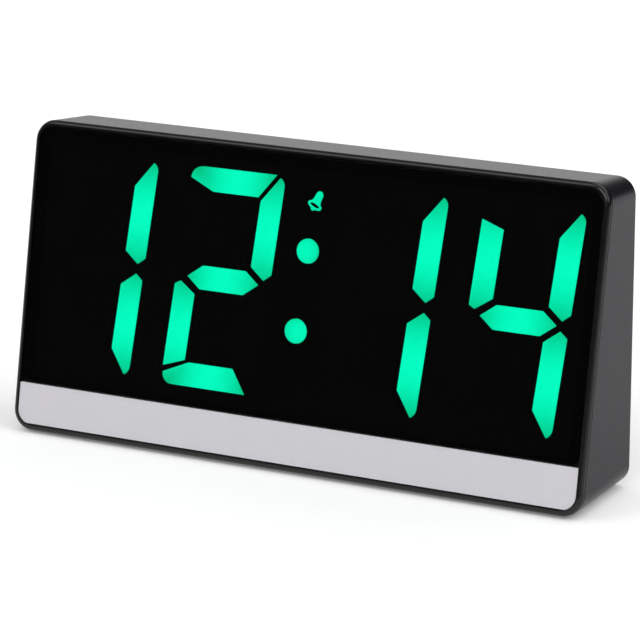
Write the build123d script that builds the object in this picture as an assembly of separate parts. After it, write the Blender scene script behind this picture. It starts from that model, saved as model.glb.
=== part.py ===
from build123d import *
from math import cos, pi, radians, sin, sqrt, tan
import os

# Digital LED desk clock: a wedge-shaped case whose front leans back, with four large green digits.
# Millimetres, +Z up, +Y to the back. The origin is on the desk, under the middle of the clock.
# Face places are (across, rise) on the leaning face, and face depths count forward from the case seam.
# Rear places are (across, height) as seen from behind.

# Digits
DIGIT_HEIGHT = 76.0
UPRIGHT_SPACING = 28.5  # between the middles of a digit's left and right uprights
STROKE = 8.2  # width of a segment
DIGIT_SLANT = 4.0  # degrees
DIGIT_PITCH = 49.75  # between the two digits of a pair
PAIR_PITCH = 61.6  # between the digits on either side of the colon
COLON_RADIUS = 4.2
COLON_SPACING = 27.5
BELL_HEIGHT = 6.4
BELL_RISE = 29.4  # of the bell's mouth above the middle of the digits
BELL_TILT = 24.0  # degrees, towards the right

# Segment corners, in strokes: across from the upright's middle line, and up from the digit's
# middle line (low) or top line (high). The lower half of a digit mirrors the upper half.
RIGHT_LOW_SHARES = ((-0.5, 0.72), (0.16, 0.21), (0.5, 0.48))
RIGHT_HIGH_SHARES = ((0.5, -0.46), (0.43, -0.25), (0.26, -0.11), (-0.5, -1.15))
LEFT_LOW_SHARES = ((0.5, 0.74), (-0.24, 0.24), (-0.5, 0.38))
LEFT_HIGH_SHARES = ((-0.5, -0.76), (0.5, -1.1))
BAR_LEFT_SHARES = ((0.69, -1.0), (-0.46, -0.49), (-0.32, -0.14), (0.03, 0.0))
BAR_RIGHT_SHARES = ((0.07, 0.0), (-0.65, -1.0))
MIDDLE_BAR_SHARES = ((-0.05, 0.0), (-0.71, 0.5))

# Bell outline, in bell heights from the middle of its mouth.
BELL_MOUTH_SHARES = (0.43, 0.21)
BELL_OPENING_SHARES = (0.3, 0.095)
BELL_FLARE_SHARES = ((0.4, 0.06), (0.27, 0.2), (0.22, 0.4))
BELL_CROWN_SHARES = ((0.2, 0.64), (0.0, 0.82))
BELL_CLAPPER_SHARES = (-0.02, -0.19, 0.12)

# Segments that are lit when the clock reads 12:14
LIT_SEGMENTS = {"hour_tens": "bc", "hour_ones": "abged", "minute_tens": "bc", "minute_ones": "fgbc"}

# Front
FACE_LEAN = 10.8  # degrees from upright
RIM_WIDTH = 2.1
RIM_PROUD = 2.4  # of the rim in front of the case seam
RIM_ROUND = 1.8
SEAM_GROOVE = 0.5
SEAM_DEPTH = 0.5
FRONT_CORNER = 7.4
STRIP_HEIGHT = 14.6
STRIP_TO_DIGITS = 7.05
DIGITS_TO_RIM = 8.0
DIGITS_TO_SIDE = 8.8
LENS_THICKNESS = 1.0
LENS_RECESS = 0.4  # of the lens behind the rim's crest
LENS_EDGE = 0.5
STRIP_PROUD = 0.15  # of the strip in front of the lens
STRIP_CORNER = 0.4
STRIP_FOOT_GAP = 0.35  # between the strip and the rim below it
LENS_CLEARANCE = 0.1
LEDGE_WIDTH = 3.9
LEDGE_THICKNESS = 2.1
WINDOW_CORNER = 2.0
SKIRT_DEPTH = 5.0
SKIRT_THICKNESS = 1.4
SKIRT_CLEARANCE = 0.25
SNAP_PITCH = 66.0
SNAP_COUNT = 3
SNAP_WIDTH = 12.0
SNAP_PROUD = 1.2
SNAP_DEPTH = 2.4
SNAP_LENGTH = 1.8
SNAP_CLEARANCE = 0.3

# Light box
LENS_GAP = 0.15
HOUSING_DEPTH = 7.4
HOUSING_CLEARANCE = 0.3
HOUSING_FLANGE = 1.5
PLUG_DEPTH = 3.0
WELL_CLEARANCE = 0.1
WELL_LEDGE = 1.0
BELL_WELL_RADIUS = 2.6
BELL_WELL_DEPTH = 4.0
BELL_HOLE_RADIUS = 0.9
CHIP_WIDTH = 2.8
CHIP_LENGTH = 3.5
CHIP_HEIGHT = 1.9
CHIP_PITCH = 11.0  # between the two chips behind one segment

# Boards
BOARD_THICKNESS = 1.6
LED_BOARD_MARGIN = 0.5  # inside the housing's flange
BOARD_SCREW_RISE = 11.0
BOARD_SCREW_INNER = 30.0
BOARD_SCREW_TO_POST = 20.0  # from the outer board screws to the case screws
BOARD_TAB_MARGIN = 10.0  # of a tab past its screws
BOARD_TAB_EDGE = 1.2  # of a tab below its bosses
BOARD_BOSS_RADIUS = 2.8
CLIP_LIP = 1.4
CLIP_OVERLAP = 1.2
CLIP_CLEARANCE = 0.2
MAIN_TOP_DROP = 16.0
MAIN_HEIGHT = 46.0
MAIN_SIDE_ROOM = 18.0  # from the ends of the main board to the width of the face
MAIN_BOSS_INSET = 6.0
MAIN_BOSS_RADIUS = 3.0
BOARD_GAP = 3.4  # between the two boards at the top of the main board
DRIVER_SIZE = (18.0, 7.6, 2.4)
DRIVER_ACROSS = -40.0
CONTROL_SIZE = (10.0, 10.0, 1.6)
CONTROL_ACROSS = -45.0
CONTROL_RISE = 15.0  # above the foot of the main board
LEAD_PITCH = 1.27
LEAD_WIDTH = 0.5
LEAD_THICKNESS = 0.25
LEAD_LENGTH = 1.1
CHIP_MARK_RADIUS = 0.5
CHIP_MARK_DEPTH = 0.15
CRYSTAL_RADIUS = 1.5
CRYSTAL_LENGTH = 8.0
CRYSTAL_GAP = 8.0  # between the crystal and the control chip
CAPACITOR_RADIUS = 3.2
CAPACITOR_HEIGHT = 6.5
CAPACITOR_COUNT = 2
CAPACITOR_PITCH = 10.0
CAPACITOR_ACROSS = 57.0
CAPACITOR_RISE = 7.5  # above the foot of the main board
CAPACITOR_CRIMP = 0.35
CAPACITOR_CRIMP_RISE = 1.3  # of the crimped ring above the board
CAPACITOR_SCORE = 0.5  # width of the scored cross on its end
HEADER_SIZE = (24.0, 6.0, 3.0)
HEADER_ACROSS = 8.0
HEADER_DROP = 2.0  # below the middle of the digits
RIBBON_WIDTH = 20.0
RIBBON_THICKNESS = 0.8
RIBBON_DROP = 13.0
RIBBON_BEND = 2.2

# Rear case
WALL = 2.2
BACK_WALL = 2.2
SIDE_TAPER = 1.4
TOP_TAPER = 2.2
BACK_CORNER = 6.7
BACK_EDGE = 0.9  # round of the edge between the back and the sides
FOOT_HEIGHT = 0.8
FOOT_SUNK = 0.6
FOOT_RADIUS = 5.0
FOOT_CLEARANCE = 0.2
FOOT_INSET_X = 15.0
FOOT_INSET_Y = 9.0
CASE_SCREW_INSET = 15.0  # from the sides of the face
CASE_POST_RADIUS = 3.4
CASE_TUBE_RADIUS = 4.4
CASE_POST_ROOM = 0.4  # between the screw posts and the LED board
CASE_SEAT = 3.0

# Screws
CASE_SCREW_RADIUS = 1.25
CASE_SCREW_BITE = 8.0
CASE_HEAD_RADIUS = 2.5
CASE_HEAD_HEIGHT = 2.0
BOARD_SCREW_RADIUS = 1.0
BOARD_SCREW_BITE = 5.0
BOARD_HEAD_RADIUS = 2.0
BOARD_HEAD_HEIGHT = 1.5
CROSS_WIDTH = 0.7
CROSS_DEPTH = 0.9
CROSS_LENGTH_SHARE = 1.2  # of the head's radius
PASS_CLEARANCE = 0.25
BITE_CLEARANCE = 0.05
TIP_CLEARANCE = 0.8

# Buttons and their switches
BUTTON_NAMES = ("set", "alarm", "plus", "minus", "snooze")
BUTTON_PITCH = 22.0
BUTTON_DROP = 10.5  # below the top of the main board
BUTTON_WIDTH = 13.0
BUTTON_HEIGHT = 7.0
BUTTON_CORNER = 3.2
BUTTON_PROUD = 1.2
BUTTON_EDGE = 0.5
BUTTON_FLANGE = 1.0
BUTTON_FLANGE_WIDTH = 1.2
BUTTON_CLEARANCE = 0.3
BUTTON_GAP = 0.1
BUTTON_TRAVEL = 0.8
STEM_RADIUS = 1.6
STEM_LENGTH = 1.2
SWITCH_SIDE = 6.0
SWITCH_HEIGHT = 3.5
PLUNGER_RADIUS = 1.7
PLUNGER_PROUD = 1.2
PLUNGER_SUNK = 1.2
PLUNGER_CLEARANCE = 0.1
PLUNGER_FLOOR_GAP = 0.2

# Alarm on-off switch
SLIDE_INSET = 20.0  # from the end of the main board
SLIDE_BODY_LENGTH = 11.0
SLIDE_BODY_WIDTH = 5.2
SLIDE_BODY_HEIGHT = 4.0
SLIDE_SUNK = 1.6
SLIDE_FLOOR_GAP = 0.3
SLIDE_TRAVEL = 4.0
KNOB_WIDTH = 2.8
KNOB_HEIGHT = 3.2
KNOB_PROUD = 1.4
KNOB_RIB = 0.5
KNOB_CLEARANCE = 0.3

# Brightness wheel
WHEEL_ACROSS = 44.0
WHEEL_RADIUS = 8.0
WHEEL_THICKNESS = 3.2
WHEEL_PROUD = 2.0
WHEEL_GAP = 0.5  # below the main board and the dimmer's body
WHEEL_CLEARANCE = 0.4
WHEEL_NOTCHES = 32
WHEEL_NOTCH_RADIUS = 0.4
POT_WIDTH = 10.0
POT_HEIGHT = 6.0
POT_WALL = 1.6
SHAFT_RADIUS = 1.5
SHAFT_DEPTH = 4.0
SHAFT_CLEARANCE = 0.06
SHAFT_END_GAP = 0.3
SHAFT_FIT = 0.02

# Buzzer
BUZZER_INSET = 26.0  # from the end of the main board
BUZZER_DROP = 20.5  # below the top of the main board
BUZZER_RADIUS = 7.0
BUZZER_HEIGHT = 5.4
BUZZER_HOLE_RADIUS = 1.2
BUZZER_HOLE_DEPTH = 2.0
SOUND_HOLES = 6
SOUND_HOLE_RADIUS = 0.8
SOUND_RING_RADIUS = 3.6

# Power inlet
INLET_INSET = 22.0  # from the end of the main board
INLET_RISE = 6.5  # above the foot of the main board
INLET_WIDTH = 9.0
INLET_HEIGHT = 3.3
INLET_WALL = 0.3
INLET_FLOOR = 1.2
INLET_RECESS = 0.4
INLET_CLEARANCE = 0.3
TONGUE_WIDTH = 6.7
TONGUE_THICKNESS = 0.7
TONGUE_RECESS = 1.6

# Backup cell
DOOR_THICKNESS = 2.6
DOOR_CLEARANCE = 0.3
DOOR_SEAT_GAP = 0.1
DOOR_CORNER = 1.5
DOOR_LEDGE = 1.6
DOOR_GRIP_RIBS = 4
DOOR_GRIP_PITCH = 1.8
DOOR_GRIP_WIDTH = 12.0
DOOR_GRIP_HEIGHT = 0.8
DOOR_GRIP_PROUD = 0.5
PIVOT_RADIUS = 0.7
PIVOT_LENGTH = 1.6
PIVOT_CLEARANCE = 0.08
PIVOT_END_GAP = 0.3
NOTCH_WIDTH = 10.0
NOTCH_HEIGHT = 3.0
NOTCH_DEPTH = 1.2
BAY_WALL = 3.4
BAY_FLOOR = 1.2
CELL_RADIUS = 10.0
CELL_THICKNESS = 3.2
CELL_EDGE = 0.4
CELL_HEADROOM = 0.9
CELL_OVERLAP = 4.0  # of the cell's rim above the foot of the main board
CELL_SIDE_ROOM = 4.4
CELL_FINGER_ROOM = 5.0  # below the cell
CONTACT_THICKNESS = 0.3
CONTACT_WIDTH = 8.0
CONTACT_GAP = 0.25
CONTACT_ROOM = 0.15  # above the contact at the cell's rim
CONTACT_LEG_WIDTH = 2.0
CONTACT_SLOT_CLEARANCE = 0.2

OVERRUN = 1.0

# Worked out from the sizes above
SIN_LEAN = sin(radians(FACE_LEAN))
COS_LEAN = cos(radians(FACE_LEAN))
FACE_WIDTH = PAIR_PITCH + 2 * DIGIT_PITCH + UPRIGHT_SPACING + STROKE + 2 * (DIGITS_TO_SIDE + RIM_WIDTH)
STRIP_TOP = RIM_WIDTH + STRIP_HEIGHT
DIGIT_MIDDLE = STRIP_TOP + STRIP_TO_DIGITS + DIGIT_HEIGHT / 2
FACE_LENGTH = DIGIT_MIDDLE + DIGIT_HEIGHT / 2 + DIGITS_TO_RIM + RIM_WIDTH
CASE_HEIGHT = FACE_LENGTH * COS_LEAN
LENS_FRONT = RIM_PROUD - LENS_RECESS
LENS_BACK = LENS_FRONT - LENS_THICKNESS
LEDGE_BACK = LENS_BACK - LEDGE_THICKNESS
HOUSING_FRONT = LENS_BACK - LENS_GAP
HOUSING_BACK = LEDGE_BACK - HOUSING_DEPTH
PLUG_BACK = HOUSING_FRONT - PLUG_DEPTH
LED_BOARD_BACK = HOUSING_BACK - BOARD_THICKNESS
RIM_ROUNDING = min(RIM_ROUND, RIM_WIDTH, RIM_PROUD - SEAM_GROOVE)
LED_BOARD_BOTTOM = STRIP_TOP + LEDGE_WIDTH / 2 - HOUSING_FLANGE + LED_BOARD_MARGIN
LED_BOARD_TOP = FACE_LENGTH - RIM_WIDTH - LEDGE_WIDTH + HOUSING_FLANGE - LED_BOARD_MARGIN
HEADER_RISE = DIGIT_MIDDLE - HEADER_DROP

MAIN_WIDTH = FACE_WIDTH - 2 * MAIN_SIDE_ROOM
MAIN_TOP = FOOT_HEIGHT + CASE_HEIGHT - MAIN_TOP_DROP
MAIN_BOTTOM = MAIN_TOP - MAIN_HEIGHT
CONTROL_HEIGHT = MAIN_BOTTOM + CONTROL_RISE
BOARD_TO_WALL = SWITCH_HEIGHT + PLUNGER_PROUD + STEM_LENGTH + BUTTON_FLANGE + BUTTON_GAP
LED_BACK_AT_TOP = (MAIN_TOP - FOOT_HEIGHT) * SIN_LEAN / COS_LEAN - LED_BOARD_BACK / COS_LEAN
CASE_DEPTH = LED_BACK_AT_TOP + BOARD_GAP + BOARD_THICKNESS + BOARD_TO_WALL + BACK_WALL
RIM_FRONT = RIM_ROUNDING * (1 - SIN_LEAN) + (RIM_PROUD - RIM_ROUNDING) * COS_LEAN
SEAM_Y = RIM_FRONT - (RIM_FRONT + CASE_DEPTH + WHEEL_PROUD) / 2
BACK_Y = SEAM_Y + CASE_DEPTH
INNER_BACK_Y = BACK_Y - BACK_WALL
MAIN_REAR_Y = INNER_BACK_Y - BOARD_TO_WALL
MAIN_FRONT_Y = MAIN_REAR_Y - BOARD_THICKNESS
BUTTON_Z = MAIN_TOP - BUTTON_DROP
WHEEL_Y = BACK_Y + WHEEL_PROUD - WHEEL_RADIUS
WHEEL_TOP = MAIN_BOTTOM - WHEEL_GAP

FACE = Plane(origin=(0, SEAM_Y, FOOT_HEIGHT), x_dir=(1, 0, 0), z_dir=(0, -COS_LEAN, SIN_LEAN))


def face_point(rise, depth):
    """Y and Z of a place on the face."""
    return (SEAM_Y + rise * SIN_LEAN - depth * COS_LEAN, FOOT_HEIGHT + rise * COS_LEAN + depth * SIN_LEAN)


BOARD_FOOT_Y, BOARD_FOOT_Z = face_point(LED_BOARD_BOTTOM, LED_BOARD_BACK)
MATE_Y = BOARD_FOOT_Y + CASE_POST_ROOM
CASE_SCREW_HEIGHT = BOARD_FOOT_Z - CASE_POST_ROOM - CASE_TUBE_RADIUS
CASE_SCREW_ACROSS = FACE_WIDTH / 2 - CASE_SCREW_INSET
BOARD_SCREW_OUTER = CASE_SCREW_ACROSS - BOARD_SCREW_TO_POST


# Shared shapes

def face_prism(sketch, start, end):
    """Prism on the leaning face, between two depths counted forward from the seam."""
    return FACE.location * extrude(Pos(0, 0, start) * sketch, amount=end - start)


def rear_prism(sketch, place, start, end):
    """Prism between two places along Y, with the sketch drawn as seen from behind."""
    across, height = place
    plane = Plane(origin=(-across, start, height), x_dir=(-1, 0, 0), z_dir=(0, 1, 0))
    return extrude(plane * sketch, amount=end - start)


def along_x(radius, length):
    """Cylinder along X, centred."""
    return Rot(0, 90, 0) * Cylinder(radius, length)


def spread(count, pitch):
    """Places of a row of things, centred on zero."""
    return [(index - (count - 1) / 2) * pitch for index in range(count)]


def closed_face(steps):
    """Face inside a chain of steps: one point is a straight run, two are an arc through the first."""
    edges = []
    here = steps[-1][-1]
    for step in steps:
        if len(step) == 1:
            edges.append(Line(here, step[0]))
        else:
            edges.append(ThreePointArc(here, step[0], step[1]))
        here = step[-1]
    return make_face(edges)


def rectangle_between(left, right, bottom, top):
    """Plain rectangle given by its four sides."""
    return Pos((left + right) / 2, (bottom + top) / 2) * Rectangle(right - left, top - bottom)


def face_outline(inset):
    """Rounded outline of the whole face, drawn in by an inset."""
    outline = RectangleRounded(FACE_WIDTH - 2 * inset, FACE_LENGTH - 2 * inset, FRONT_CORNER - inset)
    return Pos(0, FACE_LENGTH / 2) * outline


def window_outline(grow):
    """Outline of the opening that shows the light box, let out by an amount."""
    half = FACE_WIDTH / 2 - RIM_WIDTH - LEDGE_WIDTH + grow
    bottom = STRIP_TOP + LEDGE_WIDTH / 2 - grow
    top = FACE_LENGTH - RIM_WIDTH - LEDGE_WIDTH + grow
    return Pos(0, (bottom + top) / 2) * RectangleRounded(2 * half, top - bottom, WINDOW_CORNER)


def case_body(inset, back_y):
    """Tapered body of the case behind the seam, with every wall drawn in by an inset."""
    front = FACE * face_outline(inset)
    width = FACE_WIDTH - 2 * SIDE_TAPER - 2 * inset
    height = CASE_HEIGHT - TOP_TAPER - 2 * inset
    middle = FOOT_HEIGHT + (CASE_HEIGHT - TOP_TAPER) / 2
    back_plane = Plane(origin=(0, back_y, middle), x_dir=(1, 0, 0), z_dir=(0, -1, 0))
    back = back_plane * RectangleRounded(width, height, BACK_CORNER - inset)
    return loft([front.face(), back.face()], ruled=True)


def screw(radius, length, head_radius, head_height):
    """Cross-head screw pointing down Z, with the seat of its head at zero."""
    shaft = Cylinder(radius, length, align=(Align.CENTER, Align.CENTER, Align.MAX))
    head = Cylinder(head_radius, head_height, align=(Align.CENTER, Align.CENTER, Align.MIN))
    slot = Box(CROSS_LENGTH_SHARE * head_radius, CROSS_WIDTH, 2 * CROSS_DEPTH)
    cross = Pos(0, 0, head_height) * (slot + Rot(0, 0, 90) * slot)
    return shaft + head - cross


# Digits

def slanted(across, rise):
    """Place on the face of a point of an upright digit, leaned by the digits' slant."""
    return (across + rise * tan(radians(DIGIT_SLANT)), DIGIT_MIDDLE + rise)


def digit_faces(centre):
    """Faces of the seven segments of a digit, by their usual letters."""
    half = UPRIGHT_SPACING / 2
    top = DIGIT_HEIGHT / 2

    def corners(column, line, shares, side):
        return [
            slanted(centre + column + across * STROKE, side * (line + rise * STROKE))
            for across, rise in shares
        ]

    def right_upright(side):
        low = [(point,) for point in corners(half, 0, RIGHT_LOW_SHARES, side)]
        start, through, tip, inner = corners(half, top, RIGHT_HIGH_SHARES, side)
        return closed_face(low + [(start,), (through, tip), (inner,)])

    def left_upright(side):
        low = corners(-half, 0, LEFT_LOW_SHARES, side)
        high = corners(-half, top, LEFT_HIGH_SHARES, side)
        return closed_face([(point,) for point in low + high])

    def end_bar(side):
        foot, tip, through, crown = corners(-half, top, BAR_LEFT_SHARES, side)
        right = [(point,) for point in corners(half, top, BAR_RIGHT_SHARES, side)]
        return closed_face([(foot,), (tip,), (through, crown)] + right)

    def middle_bar():
        mirrored = [(-across, rise) for across, rise in MIDDLE_BAR_SHARES]
        right_tip, right_high = corners(half, 0, MIDDLE_BAR_SHARES, 1)
        right_low = corners(half, 0, MIDDLE_BAR_SHARES, -1)[1]
        left_tip, left_high = corners(-half, 0, mirrored, 1)
        left_low = corners(-half, 0, mirrored, -1)[1]
        points = [right_tip, right_high, left_high, left_tip, left_low, right_low]
        return closed_face([(point,) for point in points])

    return {
        "a": end_bar(1),
        "b": right_upright(1),
        "c": right_upright(-1),
        "d": end_bar(-1),
        "e": left_upright(-1),
        "f": left_upright(1),
        "g": middle_bar(),
    }


def bell_face(grow):
    """Tilted bell with an open mouth and a clapper, as one face let out by an amount."""

    def sized(shares):
        return tuple(share * BELL_HEIGHT for share in shares)

    def ellipse(shares, let_out):
        across, up = sized(shares)
        return Ellipse(across + let_out, up + let_out)

    def other_side(point):
        return (-point[0], point[1])

    lip, flare, waist = [sized(shares) for shares in BELL_FLARE_SHARES]
    shoulder, crown = [sized(shares) for shares in BELL_CROWN_SHARES]
    body = closed_face(
        [
            (lip,),
            (flare, waist),
            (shoulder,),
            (crown, other_side(shoulder)),
            (other_side(waist),),
            (other_side(flare), other_side(lip)),
        ]
    )
    if grow:
        body = offset(body, amount=grow)
    clapper_across, clapper_drop, clapper_radius = sized(BELL_CLAPPER_SHARES)
    clapper = Pos(clapper_across, clapper_drop) * Circle(clapper_radius + grow)
    bell = body + ellipse(BELL_MOUTH_SHARES, grow) + clapper - ellipse(BELL_OPENING_SHARES, -grow)
    return Pos(*slanted(0, BELL_RISE)) * Rot(0, 0, -BELL_TILT) * bell


DIGIT_CENTRES = {
    "hour_tens": -PAIR_PITCH / 2 - DIGIT_PITCH,
    "hour_ones": -PAIR_PITCH / 2,
    "minute_tens": PAIR_PITCH / 2,
    "minute_ones": PAIR_PITCH / 2 + DIGIT_PITCH,
}
SEGMENT_FACES = {name: digit_faces(centre) for name, centre in DIGIT_CENTRES.items()}
DOT_PLACES = [slanted(0, rise) for rise in spread(2, COLON_SPACING)]
DOT_FACES = [Pos(across, rise) * Circle(COLON_RADIUS) for across, rise in DOT_PLACES]
WELL_FACES = [face for digit in SEGMENT_FACES.values() for face in digit.values()] + DOT_FACES


def digit_plugs(name, lit):
    """Translucent plugs of one digit's lit or dark segments."""
    letters = [letter for letter in SEGMENT_FACES[name] if (letter in LIT_SEGMENTS[name]) == lit]
    faces = [SEGMENT_FACES[name][letter] for letter in letters]
    return [face_prism(face, PLUG_BACK, HOUSING_FRONT) for face in faces]


# Front of the case

def snap_block(across, grow):
    """Snap bump on the top of the bezel's skirt, or the pocket for it."""
    skirt_top = FACE_LENGTH - WALL - SKIRT_CLEARANCE
    half = SNAP_WIDTH / 2 + grow
    outline = rectangle_between(
        across - half, across + half, skirt_top - SKIRT_THICKNESS / 2, skirt_top + SNAP_PROUD + grow
    )
    return face_prism(outline, -SNAP_DEPTH - SNAP_LENGTH - grow, -SNAP_DEPTH + grow)


def board_clip(across):
    """Hook on the bezel's skirt that holds the top of the LED board."""
    half = SNAP_WIDTH / 2
    clip_back = LED_BOARD_BACK - CLIP_CLEARANCE - CLIP_LIP
    arm_top = FACE_LENGTH - WALL - SKIRT_CLEARANCE
    arm_bottom = arm_top - SKIRT_THICKNESS
    arm = rectangle_between(across - half, across + half, arm_bottom, arm_top)
    lip_bottom = LED_BOARD_TOP - CLIP_OVERLAP
    lip = rectangle_between(across - half, across + half, lip_bottom, arm_top)
    return face_prism(arm, clip_back, -SKIRT_DEPTH / 2) + face_prism(lip, clip_back, clip_back + CLIP_LIP)


def board_screw_places():
    """Places on the face of the screws at the foot of the LED board."""
    return [
        (side * across, BOARD_SCREW_RISE)
        for side in (-1, 1)
        for across in (BOARD_SCREW_INNER, BOARD_SCREW_OUTER)
    ]


def case_screw_places():
    """Rear places of the three screws along the foot of the case."""
    return [(across, CASE_SCREW_HEIGHT) for across in (-CASE_SCREW_ACROSS, 0, CASE_SCREW_ACROSS)]


def front_bezel():
    """Moulded frame with its rounded rim, lens ledge, skirt, posts and clips."""
    rim = extrude(Pos(0, 0, SEAM_GROOVE) * face_outline(0), amount=RIM_PROUD - SEAM_GROOVE)
    rim = fillet(rim.faces().sort_by(Axis.Z)[-1].edges(), radius=RIM_ROUNDING)
    neck = extrude(face_outline(SEAM_DEPTH), amount=SEAM_GROOVE)
    recess = extrude(Pos(0, 0, LENS_BACK) * face_outline(RIM_WIDTH), amount=RIM_PROUD)
    skirt_inset = WALL + SKIRT_CLEARANCE
    ledge = extrude(Pos(0, 0, LEDGE_BACK) * face_outline(skirt_inset), amount=LEDGE_THICKNESS)
    skirt = case_body(skirt_inset, BACK_Y) - case_body(skirt_inset + SKIRT_THICKNESS, BACK_Y)
    skirt &= face_prism(face_outline(0), -SKIRT_DEPTH, SEAM_GROOVE)
    ledge_part = (FACE.location * ledge) & case_body(skirt_inset, BACK_Y)
    bezel = FACE.location * (rim + neck - recess) + ledge_part + skirt
    for place in case_screw_places():
        start = face_point((CASE_SCREW_HEIGHT - FOOT_HEIGHT) / COS_LEAN, LENS_BACK)[0] + LEDGE_THICKNESS / 2
        bezel += rear_prism(Circle(CASE_POST_RADIUS), place, start, MATE_Y)
    for across, rise in board_screw_places():
        boss = Pos(across, rise) * Circle(BOARD_BOSS_RADIUS)
        bezel += face_prism(boss, HOUSING_BACK, LENS_BACK - LEDGE_THICKNESS / 2)
    for across in spread(SNAP_COUNT, SNAP_PITCH):
        bezel += snap_block(across, 0)
        bezel += board_clip(across)
    bezel -= face_prism(window_outline(0), LEDGE_BACK - OVERRUN, LENS_BACK + OVERRUN)
    for place in case_screw_places():
        hole = Circle(CASE_SCREW_RADIUS + BITE_CLEARANCE)
        bezel -= rear_prism(hole, place, MATE_Y - CASE_SCREW_BITE - TIP_CLEARANCE, MATE_Y + OVERRUN)
    for across, rise in board_screw_places():
        hole = Pos(across, rise) * Circle(BOARD_SCREW_RADIUS + BITE_CLEARANCE)
        depth = BOARD_SCREW_BITE + TIP_CLEARANCE
        bezel -= face_prism(hole, HOUSING_BACK - OVERRUN, HOUSING_BACK + depth)
    return bezel


def front_lens():
    """Dark acrylic window that fills the bezel above the strip."""
    below = rectangle_between(-FACE_WIDTH, FACE_WIDTH, -FACE_LENGTH, STRIP_TOP + LENS_CLEARANCE)
    outline = face_outline(RIM_WIDTH + LENS_CLEARANCE) - below
    lens = extrude(Pos(0, 0, LENS_BACK) * outline, amount=LENS_THICKNESS)
    lens = fillet(lens.faces().sort_by(Axis.Z)[-1].edges(), radius=LENS_EDGE)
    return FACE.location * lens


def trim_strip():
    """Silver strip along the foot of the face."""
    band = rectangle_between(-FACE_WIDTH, FACE_WIDTH, RIM_WIDTH + STRIP_FOOT_GAP, STRIP_TOP)
    outline = face_outline(RIM_WIDTH + LENS_CLEARANCE) & band
    top_corners = outline.vertices().group_by(Axis.Y)[-1]
    outline = fillet(top_corners, radius=STRIP_CORNER)
    return face_prism(outline, LENS_BACK, LENS_FRONT + STRIP_PROUD)


# Light box

def segment_housing():
    """Black light box with a stepped well for each segment, dot and icon."""
    nose_depth = HOUSING_FRONT - LEDGE_BACK
    nose = extrude(Pos(0, 0, LEDGE_BACK) * window_outline(-HOUSING_CLEARANCE), amount=nose_depth)
    body = extrude(Pos(0, 0, HOUSING_BACK) * window_outline(HOUSING_FLANGE), amount=HOUSING_DEPTH)
    sharp = Kind.INTERSECTION
    mouths = [offset(face, amount=WELL_CLEARANCE, kind=sharp) for face in WELL_FACES]
    mouths.append(bell_face(WELL_CLEARANCE))
    chambers = [offset(face, amount=-WELL_LEDGE, kind=sharp) for face in WELL_FACES]
    light_place = Pos(*bell_light_place())
    chambers.append(light_place * Circle(BELL_HOLE_RADIUS))
    chamber_depth = PLUG_BACK - HOUSING_BACK + 2 * OVERRUN
    housing = nose + body
    housing -= [extrude(Pos(0, 0, PLUG_BACK) * mouth, amount=PLUG_DEPTH + OVERRUN) for mouth in mouths]
    behind = Pos(0, 0, HOUSING_BACK - OVERRUN)
    housing -= [extrude(behind * chamber, amount=chamber_depth) for chamber in chambers]
    housing -= extrude(behind * light_place * Circle(BELL_WELL_RADIUS), amount=BELL_WELL_DEPTH + OVERRUN)
    return FACE.location * housing


def bell_light_place():
    """Place on the face of the light behind the bell's body."""
    across, rise = slanted(0, BELL_RISE)
    up = BELL_CROWN_SHARES[0][1] * BELL_HEIGHT
    return (across + up * sin(radians(BELL_TILT)), rise + up * cos(radians(BELL_TILT)))


def led_board():
    """Board that carries the light-emitting chips, with two tabs for its screws."""
    outline = window_outline(HOUSING_FLANGE - LED_BOARD_MARGIN)
    for side in (-1, 1):
        inner = side * (BOARD_SCREW_INNER - BOARD_TAB_MARGIN)
        outer = side * (BOARD_SCREW_OUTER + BOARD_TAB_MARGIN)
        tab_bottom = BOARD_SCREW_RISE - BOARD_BOSS_RADIUS - BOARD_TAB_EDGE
        outline += rectangle_between(min(inner, outer), max(inner, outer), tab_bottom, DIGIT_MIDDLE)
    for across, rise in board_screw_places():
        outline -= Pos(across, rise) * Circle(BOARD_SCREW_RADIUS + PASS_CLEARANCE)
    return face_prism(outline, LED_BOARD_BACK, HOUSING_BACK)


def led_chips():
    """Light-emitting chips: a pair behind each segment, one behind each dot and the bell."""
    places = list(DOT_PLACES) + [bell_light_place()]
    for digit in SEGMENT_FACES.values():
        for letter, face in digit.items():
            middle = face.center()
            for step in spread(2, CHIP_PITCH):
                across = step if letter in "adg" else step * tan(radians(DIGIT_SLANT))
                rise = 0 if letter in "adg" else step
                places.append((middle.X + across, middle.Y + rise))
    chip = Rectangle(CHIP_WIDTH, CHIP_LENGTH)
    return [
        face_prism(Pos(across, rise) * chip, HOUSING_BACK, HOUSING_BACK + CHIP_HEIGHT)
        for across, rise in places
    ]


def lead_row(length, reach):
    """Row of bent leads along one side of a chip that reaches that far from its middle."""
    foot = Box(LEAD_WIDTH, LEAD_LENGTH, LEAD_THICKNESS, align=(Align.CENTER, Align.MIN, Align.MIN))
    riser_height = LEAD_LENGTH / 2
    riser = Box(LEAD_WIDTH, LEAD_THICKNESS, riser_height, align=(Align.CENTER, Align.MIN, Align.MIN))
    count = int((length - LEAD_PITCH) / LEAD_PITCH)
    return [Pos(across, reach, 0) * (foot + riser) for across in spread(count, LEAD_PITCH)]


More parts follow.
